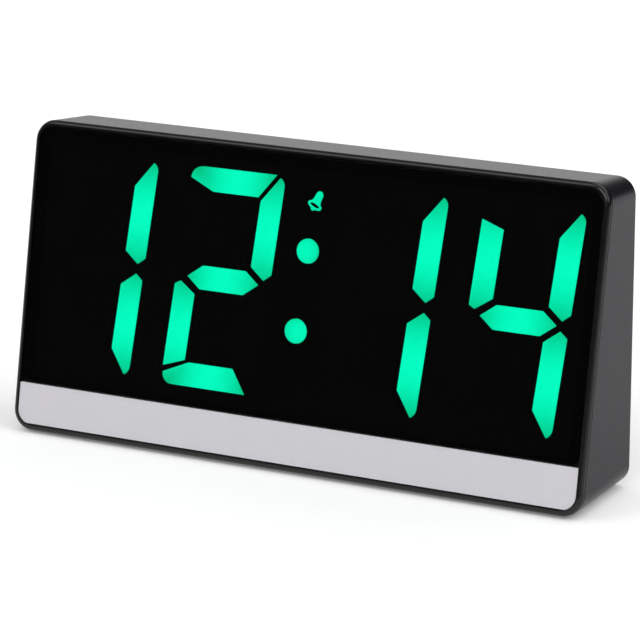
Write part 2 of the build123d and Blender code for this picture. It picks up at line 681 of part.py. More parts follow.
def leaded_chip(size, sides):
    """Chip that stands on its board, with leads on two or four sides and a dimple at one corner."""
    length, width, height = size
    chip = Box(length, width, height, align=(Align.CENTER, Align.CENTER, Align.MIN))
    mark = Cylinder(CHIP_MARK_RADIUS, 2 * CHIP_MARK_DEPTH)
    corner = 3 * CHIP_MARK_RADIUS
    chip -= Pos(corner - length / 2, corner - width / 2, height) * mark
    for side in range(sides):
        along, reach = (length, width / 2) if sides == 2 or side % 2 == 0 else (width, length / 2)
        turn = Rot(0, 0, 360 * side / sides)
        chip += [turn * lead for lead in lead_row(along, reach)]
    return chip


def display_driver():
    """Driver chip on the back of the LED board."""
    place = FACE.location * Pos(DRIVER_ACROSS, HEADER_RISE, LED_BOARD_BACK) * Rot(180, 0, 0)
    return place * leaded_chip(DRIVER_SIZE, 2)


# Boards and their links

def main_boss_places():
    """Rear places of the main board's four screws."""
    across = MAIN_WIDTH / 2 - MAIN_BOSS_INSET
    heights = (MAIN_BOTTOM + MAIN_BOSS_INSET, MAIN_TOP - MAIN_BOSS_INSET)
    return [(side * across, height) for side in (-1, 1) for height in heights]


def main_board():
    """Control board that carries the switches, inlet, buzzer and dimmer."""
    middle = (0, (MAIN_TOP + MAIN_BOTTOM) / 2)
    board = rear_prism(Rectangle(MAIN_WIDTH, MAIN_HEIGHT), middle, MAIN_FRONT_Y, MAIN_REAR_Y)
    for place in main_boss_places():
        hole = Circle(BOARD_SCREW_RADIUS + PASS_CLEARANCE)
        board -= rear_prism(hole, place, MAIN_FRONT_Y - OVERRUN, MAIN_REAR_Y + OVERRUN)
    return board


def control_chip():
    """Controller chip on the front of the main board."""
    return Pos(-CONTROL_ACROSS, MAIN_FRONT_Y, CONTROL_HEIGHT) * Rot(90, 0, 0) * leaded_chip(CONTROL_SIZE, 4)


def quartz_crystal():
    """Small quartz can that lies on the front of the main board."""
    across = CONTROL_ACROSS - (CONTROL_SIZE[0] + CRYSTAL_LENGTH) / 2 - CRYSTAL_GAP
    can = along_x(CRYSTAL_RADIUS, CRYSTAL_LENGTH)
    return Pos(-across, MAIN_FRONT_Y - CRYSTAL_RADIUS, CONTROL_HEIGHT) * can


def filter_capacitors():
    """Upright capacitors on the front of the main board, crimped near the foot and scored on the end."""
    can = Cylinder(CAPACITOR_RADIUS, CAPACITOR_HEIGHT, align=(Align.CENTER, Align.CENTER, Align.MIN))
    can -= Pos(0, 0, CAPACITOR_CRIMP_RISE) * Torus(CAPACITOR_RADIUS, CAPACITOR_CRIMP)
    score = Box(CAPACITOR_RADIUS, CAPACITOR_SCORE, CAPACITOR_SCORE)
    can -= Pos(0, 0, CAPACITOR_HEIGHT) * (score + Rot(0, 0, 90) * score)
    height = MAIN_BOTTOM + CAPACITOR_RISE
    return [
        Pos(-CAPACITOR_ACROSS - step, MAIN_FRONT_Y, height) * Rot(90, 0, 0) * can
        for step in spread(CAPACITOR_COUNT, CAPACITOR_PITCH)
    ]


def header_height():
    """Height of the main board's header, level with the LED board's one."""
    return face_point(HEADER_RISE, LED_BOARD_BACK)[1]


def ribbon_headers():
    """Headers that join the ribbon to the two boards."""
    length, width, height = HEADER_SIZE
    on_led_board = Pos(HEADER_ACROSS, HEADER_RISE) * Rectangle(length, width)
    return [
        face_prism(on_led_board, LED_BOARD_BACK - height, LED_BOARD_BACK),
        rear_prism(
            Rectangle(length, width), (-HEADER_ACROSS, header_height()), MAIN_FRONT_Y - height, MAIN_FRONT_Y
        ),
    ]


def ribbon_cable():
    """Flat cable that loops down from one board's header and up into the other's."""
    width, height = HEADER_SIZE[1], HEADER_SIZE[2]
    start_y, start_z = face_point(HEADER_RISE - width / 2, LED_BOARD_BACK - height / 2)
    turn_y = start_y - RIBBON_DROP * SIN_LEAN
    turn_z = start_z - RIBBON_DROP * COS_LEAN
    end_y = MAIN_FRONT_Y - height / 2
    end_z = header_height() - width / 2
    points = [(start_y, start_z), (turn_y, turn_z), (end_y, turn_z), (end_y, end_z)]
    path = FilletPolyline(*[(HEADER_ACROSS, y, z) for y, z in points], radius=RIBBON_BEND)
    section = Plane(origin=path @ 0, x_dir=(1, 0, 0), z_dir=path % 0)
    return sweep(section * Rectangle(RIBBON_WIDTH, RIBBON_THICKNESS), path=path)


# Rear controls

BUTTON_PLACES = {
    name: (across, BUTTON_Z) for name, across in zip(BUTTON_NAMES, spread(len(BUTTON_NAMES), BUTTON_PITCH))
}
SLIDE_PLACE = (MAIN_WIDTH / 2 - SLIDE_INSET, BUTTON_Z)
BUZZER_PLACE = (BUZZER_INSET - MAIN_WIDTH / 2, MAIN_TOP - BUZZER_DROP)
INLET_PLACE = (INLET_INSET - MAIN_WIDTH / 2, MAIN_BOTTOM + INLET_RISE)
PLUNGER_TOP = MAIN_REAR_Y + SWITCH_HEIGHT + PLUNGER_PROUD
PLUNGER_FOOT = MAIN_REAR_Y + SWITCH_HEIGHT - PLUNGER_SUNK


def button(place):
    """Push button: a cap through the back wall, a flange inside it and a stem on the switch."""
    flange_back = INNER_BACK_Y - BUTTON_GAP
    flange_front = flange_back - BUTTON_FLANGE
    outline = RectangleRounded(BUTTON_WIDTH, BUTTON_HEIGHT, BUTTON_CORNER)
    cap = rear_prism(outline, place, flange_back, BACK_Y + BUTTON_PROUD)
    cap = fillet(cap.faces().sort_by(Axis.Y)[-1].edges(), radius=BUTTON_EDGE)
    flange = RectangleRounded(
        BUTTON_WIDTH + 2 * BUTTON_FLANGE_WIDTH,
        BUTTON_HEIGHT + 2 * BUTTON_FLANGE_WIDTH,
        BUTTON_CORNER + BUTTON_FLANGE_WIDTH,
    )
    stem = rear_prism(Circle(STEM_RADIUS), place, PLUNGER_TOP, flange_front)
    return cap + rear_prism(flange, place, flange_front, flange_back) + stem


def switch_plunger(place):
    """Plunger of a push switch."""
    return rear_prism(Circle(PLUNGER_RADIUS), place, PLUNGER_FOOT, PLUNGER_TOP)


def tact_switches():
    """Bodies of the push switches, one behind each button."""
    top = MAIN_REAR_Y + SWITCH_HEIGHT
    well_foot = PLUNGER_FOOT - BUTTON_TRAVEL - PLUNGER_FLOOR_GAP
    bodies = []
    for place in BUTTON_PLACES.values():
        body = rear_prism(Rectangle(SWITCH_SIDE, SWITCH_SIDE), place, MAIN_REAR_Y, top)
        well = Circle(PLUNGER_RADIUS + PLUNGER_CLEARANCE)
        bodies.append(body - rear_prism(well, place, well_foot, top + OVERRUN))
    return bodies


def slide_slot():
    """Slot that the alarm switch's knob runs in."""
    return Rectangle(KNOB_WIDTH + SLIDE_TRAVEL + 2 * KNOB_CLEARANCE, KNOB_HEIGHT + 2 * KNOB_CLEARANCE)


def alarm_switch_body():
    """Body of the alarm on-off switch."""
    top = MAIN_REAR_Y + SLIDE_BODY_HEIGHT
    body = rear_prism(Rectangle(SLIDE_BODY_LENGTH, SLIDE_BODY_WIDTH), SLIDE_PLACE, MAIN_REAR_Y, top)
    return body - rear_prism(slide_slot(), SLIDE_PLACE, top - SLIDE_SUNK - SLIDE_FLOOR_GAP, top + OVERRUN)


def alarm_switch_knob():
    """Knob of the alarm switch at its on end, with two grip grooves."""
    place = (SLIDE_PLACE[0] + SLIDE_TRAVEL / 2, BUTTON_Z)
    start = MAIN_REAR_Y + SLIDE_BODY_HEIGHT - SLIDE_SUNK
    end = BACK_Y + KNOB_PROUD
    knob = rear_prism(Rectangle(KNOB_WIDTH, KNOB_HEIGHT), place, start, end)
    for step in spread(2, 2 * KNOB_RIB):
        groove = rectangle_between(step - KNOB_RIB / 2, step + KNOB_RIB / 2, -KNOB_HEIGHT, KNOB_HEIGHT)
        knob -= rear_prism(groove, place, end - KNOB_RIB, end + OVERRUN)
    return knob


def dimmer_pot():
    """Body of the dimmer, at the foot of the main board."""
    depth = WHEEL_Y + SHAFT_RADIUS + POT_WALL - MAIN_REAR_Y
    middle = (-WHEEL_ACROSS, MAIN_REAR_Y + depth / 2, MAIN_BOTTOM + POT_HEIGHT / 2)
    bore_depth = SHAFT_DEPTH + SHAFT_END_GAP
    bore = Cylinder(
        SHAFT_RADIUS + SHAFT_CLEARANCE, bore_depth + OVERRUN, align=(Align.CENTER, Align.CENTER, Align.MIN)
    )
    bore = Pos(-WHEEL_ACROSS, WHEEL_Y, MAIN_BOTTOM - OVERRUN) * bore
    return Pos(*middle) * Box(POT_WIDTH, depth, POT_HEIGHT) - bore


def dimmer_shaft():
    """Shaft that carries the dimmer wheel."""
    length = WHEEL_THICKNESS + WHEEL_GAP + SHAFT_DEPTH
    shaft = Cylinder(SHAFT_RADIUS, length, align=(Align.CENTER, Align.CENTER, Align.MIN))
    return Pos(-WHEEL_ACROSS, WHEEL_Y, WHEEL_TOP - WHEEL_THICKNESS) * shaft


def dimmer_wheel():
    """Thumb wheel with a notched rim that stands out of the back."""
    wheel = Cylinder(WHEEL_RADIUS, WHEEL_THICKNESS) - Cylinder(SHAFT_RADIUS + SHAFT_FIT, 2 * WHEEL_THICKNESS)
    notch = Pos(WHEEL_RADIUS, 0, 0) * Cylinder(WHEEL_NOTCH_RADIUS, 2 * WHEEL_THICKNESS)
    turn = 360 / WHEEL_NOTCHES
    wheel -= [Rot(0, 0, (index + 1 / 2) * turn) * notch for index in range(WHEEL_NOTCHES)]
    return Pos(-WHEEL_ACROSS, WHEEL_Y, WHEEL_TOP - WHEEL_THICKNESS / 2) * wheel


def buzzer():
    """Round buzzer on the back of the main board."""
    top = MAIN_REAR_Y + BUZZER_HEIGHT
    can = rear_prism(Circle(BUZZER_RADIUS), BUZZER_PLACE, MAIN_REAR_Y, top)
    hole = Circle(BUZZER_HOLE_RADIUS)
    return can - rear_prism(hole, BUZZER_PLACE, top - BUZZER_HOLE_DEPTH, top + OVERRUN)


def inlet_outline(grow):
    """Rounded outline of the power inlet, let out by an amount."""
    height = INLET_HEIGHT + 2 * grow
    return SlotOverall(INLET_WIDTH + 2 * grow, height)


def usb_inlet_shell():
    """Metal shell of the power inlet."""
    end = BACK_Y - INLET_RECESS
    shell = rear_prism(inlet_outline(0), INLET_PLACE, MAIN_REAR_Y, end)
    hollow = inlet_outline(-INLET_WALL)
    return shell - rear_prism(hollow, INLET_PLACE, MAIN_REAR_Y + INLET_FLOOR, end + OVERRUN)


def usb_inlet_tongue():
    """Contact tongue inside the power inlet."""
    end = BACK_Y - TONGUE_RECESS
    outline = Rectangle(TONGUE_WIDTH, TONGUE_THICKNESS)
    return rear_prism(outline, INLET_PLACE, MAIN_REAR_Y + INLET_FLOOR, end)


# Backup cell

CELL_CENTRE = MAIN_BOTTOM + CELL_OVERLAP - CELL_RADIUS
RIM_CONTACT_HEIGHT = CELL_CENTRE + CELL_RADIUS + CONTACT_GAP + CONTACT_THICKNESS / 2
DOOR_TOP = RIM_CONTACT_HEIGHT + CONTACT_THICKNESS / 2 + CONTACT_ROOM + DOOR_LEDGE
DOOR_BOTTOM = CELL_CENTRE - CELL_RADIUS - CELL_FINGER_ROOM - DOOR_LEDGE
DOOR_HEIGHT = DOOR_TOP - DOOR_BOTTOM
DOOR_WIDTH = 2 * (CELL_RADIUS + CELL_SIDE_ROOM + DOOR_LEDGE)
DOOR_CENTRE = (0, (DOOR_TOP + DOOR_BOTTOM) / 2)
PIVOT_Y = BACK_Y - DOOR_THICKNESS / 2
PIVOT_Z = DOOR_BOTTOM + DOOR_THICKNESS / 2
DOOR_SEAT_Y = BACK_Y - DOOR_THICKNESS - DOOR_SEAT_GAP
BAY_FLOOR_Y = DOOR_SEAT_Y - CELL_HEADROOM - CELL_THICKNESS - CONTACT_THICKNESS
BAY_FRONT_Y = BAY_FLOOR_Y - BAY_FLOOR


def pivot_pins(grow, end_grow):
    """Hinge pins at the foot of the battery door, or the sockets for them."""
    length = DOOR_WIDTH + 2 * (PIVOT_LENGTH + end_grow)
    return Pos(0, PIVOT_Y, PIVOT_Z) * along_x(PIVOT_RADIUS + grow, length)


def battery_door():
    """Door of the backup cell, round at its foot, with hinge pins and grip ribs."""
    plate_height = DOOR_TOP - PIVOT_Z
    outline = rectangle_between(-DOOR_WIDTH / 2, DOOR_WIDTH / 2, 0, plate_height)
    outline = fillet(outline.vertices().group_by(Axis.Y)[-1], radius=DOOR_CORNER)
    door = rear_prism(outline, (0, PIVOT_Z), BACK_Y - DOOR_THICKNESS, BACK_Y)
    door += Pos(0, PIVOT_Y, PIVOT_Z) * along_x(DOOR_THICKNESS / 2, DOOR_WIDTH)
    for index in range(DOOR_GRIP_RIBS):
        rib = SlotOverall(DOOR_GRIP_WIDTH, DOOR_GRIP_HEIGHT)
        height = DOOR_TOP - (index + 1) * DOOR_GRIP_PITCH
        door += rear_prism(rib, (0, height), BACK_Y - DOOR_THICKNESS / 2, BACK_Y + DOOR_GRIP_PROUD)
    return door + pivot_pins(0, 0)


def coin_cell():
    """Round backup cell, lying flat behind the door."""
    start = BAY_FLOOR_Y + CONTACT_THICKNESS
    cell = rear_prism(Circle(CELL_RADIUS), (0, CELL_CENTRE), start, start + CELL_THICKNESS)
    return fillet(cell.edges(), radius=CELL_EDGE)


def contact_leg(height, across, start, grow):
    """Leg of a contact from its plate through the bay's floor to the main board, or its slot."""
    outline = Rectangle(CONTACT_LEG_WIDTH + 2 * grow, CONTACT_THICKNESS + 2 * grow)
    return rear_prism(outline, (across, height), MAIN_REAR_Y, start)


def negative_leg(grow):
    """Leg of the contact under the cell."""
    height = CELL_CENTRE + CELL_RADIUS - CONTACT_LEG_WIDTH
    return contact_leg(height, -CONTACT_WIDTH / 2, BAY_FLOOR_Y + CONTACT_THICKNESS / 2, grow)


def positive_leg(grow):
    """Leg of the contact at the rim of the cell."""
    return contact_leg(RIM_CONTACT_HEIGHT, CONTACT_WIDTH / 4, BAY_FLOOR_Y + CELL_THICKNESS / 2, grow)


def battery_contact_negative():
    """Flat contact under the cell."""
    top = CELL_CENTRE + CELL_RADIUS - CONTACT_LEG_WIDTH / 2
    plate = rectangle_between(-CONTACT_WIDTH, CONTACT_WIDTH, CELL_CENTRE - CELL_RADIUS / 2, top)
    return rear_prism(plate, (0, 0), BAY_FLOOR_Y, BAY_FLOOR_Y + CONTACT_THICKNESS) + negative_leg(0)


def battery_contact_positive():
    """Contact that bears on the rim of the cell."""
    plate = Rectangle(CONTACT_WIDTH, CONTACT_THICKNESS)
    cell_foot = BAY_FLOOR_Y + CONTACT_THICKNESS
    place = (0, RIM_CONTACT_HEIGHT)
    return rear_prism(plate, place, cell_foot + CELL_EDGE, cell_foot + CELL_THICKNESS) + positive_leg(0)


# Rear case

def bay_block():
    """Solid block inside the back wall that the backup cell's bay is sunk into."""
    width = DOOR_WIDTH + 2 * (DOOR_CLEARANCE + BAY_WALL)
    height = DOOR_HEIGHT + 2 * (DOOR_CLEARANCE + BAY_WALL)
    return rear_prism(Rectangle(width, height), DOOR_CENTRE, BAY_FRONT_Y, INNER_BACK_Y + BACK_WALL / 2)


def bay_cuts():
    """Hollows of the backup cell's bay: door seat, pocket, hinge sockets, leg slots and finger notch."""
    seat = Rectangle(DOOR_WIDTH + 2 * DOOR_CLEARANCE, DOOR_HEIGHT + 2 * DOOR_CLEARANCE)
    pocket = Rectangle(DOOR_WIDTH - 2 * DOOR_LEDGE, DOOR_HEIGHT - 2 * DOOR_LEDGE)
    notch = Rectangle(NOTCH_WIDTH, 2 * NOTCH_HEIGHT)
    return [
        rear_prism(seat, DOOR_CENTRE, DOOR_SEAT_Y, BACK_Y + OVERRUN),
        rear_prism(pocket, DOOR_CENTRE, BAY_FLOOR_Y, BACK_Y),
        rear_prism(notch, (0, DOOR_TOP), BACK_Y - NOTCH_DEPTH, BACK_Y + OVERRUN),
        pivot_pins(PIVOT_CLEARANCE, PIVOT_END_GAP),
        negative_leg(CONTACT_SLOT_CLEARANCE),
        positive_leg(CONTACT_SLOT_CLEARANCE),
    ]


def foot_places():
    """Places of the four feet under the case."""
    across = FACE_WIDTH / 2 - FOOT_INSET_X
    return [(side * across, y) for side in (-1, 1) for y in (SEAM_Y + FOOT_INSET_Y, BACK_Y - FOOT_INSET_Y)]


def foot(radius, end_grow):
    """Disc of a rubber foot, or its recess."""
    height = FOOT_HEIGHT + FOOT_SUNK
    return Pos(0, 0, -end_grow) * Cylinder(
        radius, height + end_grow, align=(Align.CENTER, Align.CENTER, Align.MIN)
    )


def rubber_feet():
    """Rubber discs that the clock stands on."""
    return [Pos(x, y, 0) * foot(FOOT_RADIUS, 0) for x, y in foot_places()]


def rear_openings():
    """Holes in the back wall for the controls, the inlet and the sound."""
    start = INNER_BACK_Y - OVERRUN
    end = BACK_Y + OVERRUN
    hole = RectangleRounded(
        BUTTON_WIDTH + 2 * BUTTON_CLEARANCE,
        BUTTON_HEIGHT + 2 * BUTTON_CLEARANCE,
        BUTTON_CORNER + BUTTON_CLEARANCE,
    )
    cuts = [rear_prism(hole, place, start, end) for place in BUTTON_PLACES.values()]
    cuts.append(rear_prism(slide_slot(), SLIDE_PLACE, start, end))
    cuts.append(rear_prism(inlet_outline(INLET_CLEARANCE), INLET_PLACE, start, end))
    wheel_chord = 2 * (sqrt(WHEEL_RADIUS**2 - (INNER_BACK_Y - WHEEL_Y) ** 2) + WHEEL_CLEARANCE)
    wheel_slot = Rectangle(wheel_chord, WHEEL_THICKNESS + 2 * WHEEL_CLEARANCE)
    cuts.append(rear_prism(wheel_slot, (WHEEL_ACROSS, WHEEL_TOP - WHEEL_THICKNESS / 2), start, end))
    across, height = BUZZER_PLACE
    sound_hole = Circle(SOUND_HOLE_RADIUS)
    cuts.append(rear_prism(sound_hole, BUZZER_PLACE, start, end))
    for index in range(SOUND_HOLES):
        angle = 2 * pi * index / SOUND_HOLES
        place = (across + SOUND_RING_RADIUS * cos(angle), height + SOUND_RING_RADIUS * sin(angle))
        cuts.append(rear_prism(sound_hole, place, start, end))
    return cuts


def rear_shell():
    """Tapered rear case with its screw tubes, board bosses, cell bay and openings."""
    body = case_body(0, BACK_Y)
    body = fillet(body.faces().sort_by(Axis.Y)[-1].edges(), radius=min(BACK_EDGE, BACK_WALL / 2))
    shell = body - case_body(WALL, INNER_BACK_Y)
    inside = INNER_BACK_Y + BACK_WALL / 2
    tube = Circle(CASE_TUBE_RADIUS)
    boss = Circle(MAIN_BOSS_RADIUS)
    shell += [rear_prism(tube, place, MATE_Y, inside) for place in case_screw_places()]
    shell += [rear_prism(boss, place, MAIN_REAR_Y, inside) for place in main_boss_places()]
    shell += bay_block()
    cuts = rear_openings() + bay_cuts()
    for place in case_screw_places():
        shaft_hole = Circle(CASE_SCREW_RADIUS + PASS_CLEARANCE)
        head_hole = Circle(CASE_HEAD_RADIUS + PASS_CLEARANCE)
        cuts.append(rear_prism(shaft_hole, place, MATE_Y - OVERRUN, BACK_Y))
        cuts.append(rear_prism(head_hole, place, MATE_Y + CASE_SEAT, BACK_Y + OVERRUN))
    for place in main_boss_places():
        depth = BOARD_SCREW_BITE + TIP_CLEARANCE
        hole = Circle(BOARD_SCREW_RADIUS + BITE_CLEARANCE)
        cuts.append(rear_prism(hole, place, MAIN_REAR_Y - OVERRUN, MAIN_REAR_Y + depth))
    cuts += [snap_block(across, SNAP_CLEARANCE) for across in spread(SNAP_COUNT, SNAP_PITCH)]
    cuts += [Pos(x, y, 0) * foot(FOOT_RADIUS + FOOT_CLEARANCE, OVERRUN) for x, y in foot_places()]
    return shell - cuts


# Fasteners

def case_screws():
    """Long screws that draw the bezel onto the rear case."""
    length = CASE_SEAT + CASE_SCREW_BITE
    blank = screw(CASE_SCREW_RADIUS, length, CASE_HEAD_RADIUS, CASE_HEAD_HEIGHT)
    return [
        Pos(-across, MATE_Y + CASE_SEAT, height) * Rot(-90, 0, 0) * blank
        for across, height in case_screw_places()
    ]


def board_screws():
    """Small screws that hold the two boards."""
    length = BOARD_THICKNESS + BOARD_SCREW_BITE
    blank = screw(BOARD_SCREW_RADIUS, length, BOARD_HEAD_RADIUS, BOARD_HEAD_HEIGHT)
    on_led_board = [
        FACE.location * Pos(across, rise, LED_BOARD_BACK) * Rot(180, 0, 0) * blank
        for across, rise in board_screw_places()
    ]
    on_main_board = [
        Pos(-across, MAIN_FRONT_Y, height) * Rot(90, 0, 0) * blank for across, height in main_boss_places()
    ]
    return on_led_board + on_main_board


# Writing the pieces

def write(name, shape):
    """Writes one node, with a list of shapes kept as separate solids."""
    pieces = shape if isinstance(shape, list) else [shape]
    solids = [solid for piece in pieces for solid in piece.solids()]
    export_step(solids[0] if len(solids) == 1 else Compound(solids), f"parts/{name}.step")


os.makedirs("parts", exist_ok=True)

write("front_bezel", front_bezel())
write("front_lens", front_lens())
write("trim_strip", trim_strip())
write("segment_housing", segment_housing())
for digit_name in DIGIT_CENTRES:
    write(f"{digit_name}_lit_segments", digit_plugs(digit_name, True))
    write(f"{digit_name}_dark_segments", digit_plugs(digit_name, False))
write("colon_dots", [face_prism(face, PLUG_BACK, HOUSING_FRONT) for face in DOT_FACES])
write("alarm_bell_icon", face_prism(bell_face(0), PLUG_BACK, HOUSING_FRONT))
write("led_board", led_board())
write("led_chips", led_chips())
write("display_driver", display_driver())
write("main_board", main_board())
write("control_chip", control_chip())
write("quartz_crystal", quartz_crystal())
write("filter_capacitors", filter_capacitors())
write("ribbon_headers", ribbon_headers())
write("ribbon_cable", ribbon_cable())
write("tact_switches", tact_switches())
for button_name, button_place in BUTTON_PLACES.items():
    write(f"{button_name}_button", button(button_place))
    write(f"{button_name}_plunger", switch_plunger(button_place))
write("alarm_switch_body", alarm_switch_body())
write("alarm_switch_knob", alarm_switch_knob())
write("dimmer_pot", dimmer_pot())
write("dimmer_shaft", dimmer_shaft())
write("dimmer_wheel", dimmer_wheel())
write("buzzer", buzzer())
write("usb_inlet_shell", usb_inlet_shell())
write("usb_inlet_tongue", usb_inlet_tongue())
write("battery_door", battery_door())
write("coin_cell", coin_cell())
write("battery_contact_negative", battery_contact_negative())
write("battery_contact_positive", battery_contact_positive())
write("rear_shell", rear_shell())
write("rubber_feet", rubber_feet())
write("case_screws", case_screws())
write("board_screws", board_screws())
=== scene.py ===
from math import cos, pi, radians, sin, tan

import bmesh
import bpy
from mathutils import Matrix, Vector


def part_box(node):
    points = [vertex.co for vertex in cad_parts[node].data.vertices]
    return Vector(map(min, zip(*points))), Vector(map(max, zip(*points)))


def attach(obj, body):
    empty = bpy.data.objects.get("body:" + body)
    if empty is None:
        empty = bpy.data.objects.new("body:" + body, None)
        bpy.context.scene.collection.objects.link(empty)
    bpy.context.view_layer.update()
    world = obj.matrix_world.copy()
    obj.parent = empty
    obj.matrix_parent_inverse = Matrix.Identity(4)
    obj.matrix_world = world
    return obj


# Digital LED desk clock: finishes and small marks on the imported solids, in metres.
# The face leans back, +Y is the back of the clock, and the desk is at z = 0.
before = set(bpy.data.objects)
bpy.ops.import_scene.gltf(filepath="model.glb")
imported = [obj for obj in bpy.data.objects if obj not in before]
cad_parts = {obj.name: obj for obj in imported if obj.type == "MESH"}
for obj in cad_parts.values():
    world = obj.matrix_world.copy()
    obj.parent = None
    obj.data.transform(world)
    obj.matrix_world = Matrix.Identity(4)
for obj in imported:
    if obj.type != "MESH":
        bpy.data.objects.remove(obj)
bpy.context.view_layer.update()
scene = bpy.context.scene
scene.view_settings.view_transform = "Standard"


# Camera: a long lens on a stand to the right of the clock and a little above it.
# It looks at a place just in front of the middle of the face.
camera_data = bpy.data.cameras.new("studio_camera")
camera_data.lens = 197.74
camera_data.sensor_width = 36.0
camera = bpy.data.objects.new("studio_camera", camera_data)
camera.location = (0.5478, -1.02135, 0.3637)
aim = Vector((0.01286, -0.02110, 0.05577))
camera.rotation_euler = (aim - camera.location).to_track_quat("-Z", "Y").to_euler()
scene.collection.objects.link(camera)
scene.camera = camera


# Room: a dim studio with a white backdrop to one side, four soft lamps and a pale sweep.
# The sweep reads white to the camera, to mirrors and through clear plastic, and keeps the shadow.
def add_node(tree, kind, sockets=None, **settings):
    """Node with its settings and the values of its sockets."""
    node = tree.nodes.new(kind)
    for key, value in settings.items():
        setattr(node, key, value)
    for socket, value in (sockets or {}).items():
        node.inputs[socket].default_value = value
    return node


def math_node(tree, operation, first, second=None):
    """Output of a sum on two numbers or outputs."""
    node = add_node(tree, "ShaderNodeMath", operation=operation)
    for index, value in enumerate((first, second)):
        if isinstance(value, bpy.types.NodeSocket):
            tree.links.new(value, node.inputs[index])
        elif value is not None:
            node.inputs[index].default_value = value
    return node.outputs[0]


def seen_directly(tree):
    """One for rays from the camera, a mirror or clear plastic, and zero for rays that only carry light."""
    path = add_node(tree, "ShaderNodeLightPath")
    mirrored = math_node(tree, "MAXIMUM", path.outputs["Is Glossy Ray"], path.outputs["Is Transmission Ray"])
    return math_node(tree, "MAXIMUM", path.outputs["Is Camera Ray"], mirrored)


WALL_LEVEL = 0.05
CEILING_LEVEL = 0.25
CEILING_RISE = (0.1, 0.9)
BACKDROP_HEADING = Vector((-0.82, 0.57, 0.0))
BACKDROP_SIDE = (0.55, 0.80)
BACKDROP_TOP = (0.44, 0.33)
room = bpy.data.worlds.new("studio_room")
room.use_nodes = True
scene.world = room
tree = room.node_tree
looked_at = add_node(tree, "ShaderNodeTexCoord").outputs["Generated"]
towards = add_node(tree, "ShaderNodeVectorMath", {1: BACKDROP_HEADING}, operation="DOT_PRODUCT")
tree.links.new(looked_at, towards.inputs[0])
height = add_node(tree, "ShaderNodeSeparateXYZ")
tree.links.new(looked_at, height.inputs["Vector"])


def soft_step(tree, value, start, end):
    """Zero before the start and one after the end, with a smooth step between."""
    ends = {"From Min": start, "From Max": end}
    node = add_node(tree, "ShaderNodeMapRange", ends, interpolation_type="SMOOTHSTEP")
    tree.links.new(value, node.inputs["Value"])
    return node.outputs["Result"]


backdrop = math_node(
    tree,
    "MULTIPLY",
    soft_step(tree, towards.outputs["Value"], *BACKDROP_SIDE),
    soft_step(tree, height.outputs["Z"], *BACKDROP_TOP),
)
ceiling = math_node(tree, "MULTIPLY", soft_step(tree, height.outputs["Z"], *CEILING_RISE), CEILING_LEVEL)
level = math_node(tree, "MAXIMUM", math_node(tree, "ADD", ceiling, WALL_LEVEL), backdrop)
to_camera = add_node(tree, "ShaderNodeLightPath").outputs["Is Camera Ray"]
room_shader = tree.nodes["Background"]
room_shader.inputs["Color"].default_value = (1.0, 1.0, 1.0, 1.0)
tree.links.new(math_node(tree, "MAXIMUM", level, to_camera), room_shader.inputs["Strength"])

LAMPS = {
    "overhead_lamp": ((0.3, 0.5, 1.4), 1.0, 60.0),
    "front_lamp": ((0.25, -1.0, 0.75), 0.95, 40.0),
    "side_lamp": ((1.2, -0.35, 0.9), 0.7, 40.0),
    "key_lamp": ((-0.69, -0.7, 1.13), 0.5, 34.0),
}
for name, (spot, strength, spread) in LAMPS.items():
    lamp_data = bpy.data.lights.new(name, "SUN")
    lamp_data.energy = strength
    lamp_data.angle = radians(spread)
    lamp = bpy.data.objects.new(name, lamp_data)
    lamp.location = spot
    lamp.rotation_euler = (-lamp.location).to_track_quat("-Z", "Y").to_euler()
    scene.collection.objects.link(lamp)

SWEEP_HALF = 6.0
SWEEP_WHITE = 0.95
SWEEP_GLOW = 0.16
sweep_mesh = bpy.data.meshes.new("pale_sweep")
shape = bmesh.new()
bmesh.ops.create_grid(shape, x_segments=1, y_segments=1, size=SWEEP_HALF)
shape.to_mesh(sweep_mesh)
shape.free()
sweep = bpy.data.objects.new("pale_sweep", sweep_mesh)
scene.collection.objects.link(sweep)
sweep_paper = bpy.data.materials.new("pale_sweep")
sweep_paper.use_nodes = True
tree = sweep_paper.node_tree
paper = tree.nodes["Principled BSDF"]
paper.inputs["Base Color"].default_value = (SWEEP_WHITE, SWEEP_WHITE, SWEEP_WHITE, 1.0)
paper.inputs["Roughness"].default_value = 1.0
paper.inputs["Specular IOR Level"].default_value = 0.0
paper.inputs["Emission Color"].default_value = (1.0, 1.0, 1.0, 1.0)
glow = math_node(tree, "MULTIPLY", seen_directly(tree), SWEEP_GLOW)
tree.links.new(glow, paper.inputs["Emission Strength"])
sweep_mesh.materials.append(sweep_paper)


# Light box behind the window: one black moulding with a well for each segment.
# Its plastic is loaded with carbon so that no light leaks from one well to the next.
FLOW_MARKS = 0.012


def new_finish(name):
    """Material with its node tree and its shader."""
    material = bpy.data.materials.new(name)
    material.use_nodes = True
    return material, material.node_tree, material.node_tree.nodes["Principled BSDF"]


def place(tree, location=(0.0, 0.0, 0.0), turn=(0.0, 0.0, 0.0), scale=(1.0, 1.0, 1.0)):
    """Place on the piece, moved, turned or stretched for a pattern."""
    where = add_node(tree, "ShaderNodeTexCoord")
    mapping = add_node(tree, "ShaderNodeMapping", {"Location": location, "Rotation": turn, "Scale": scale})
    tree.links.new(where.outputs["Object"], mapping.inputs["Vector"])
    return mapping.outputs["Vector"]


def noise(tree, vector, size, detail=3.0):
    """Cloudy pattern from zero to one, with patches of a given size."""
    node = add_node(tree, "ShaderNodeTexNoise", {"Scale": 1.0 / size, "Detail": detail})
    tree.links.new(vector, node.inputs["Vector"])
    return node.outputs["Fac"]


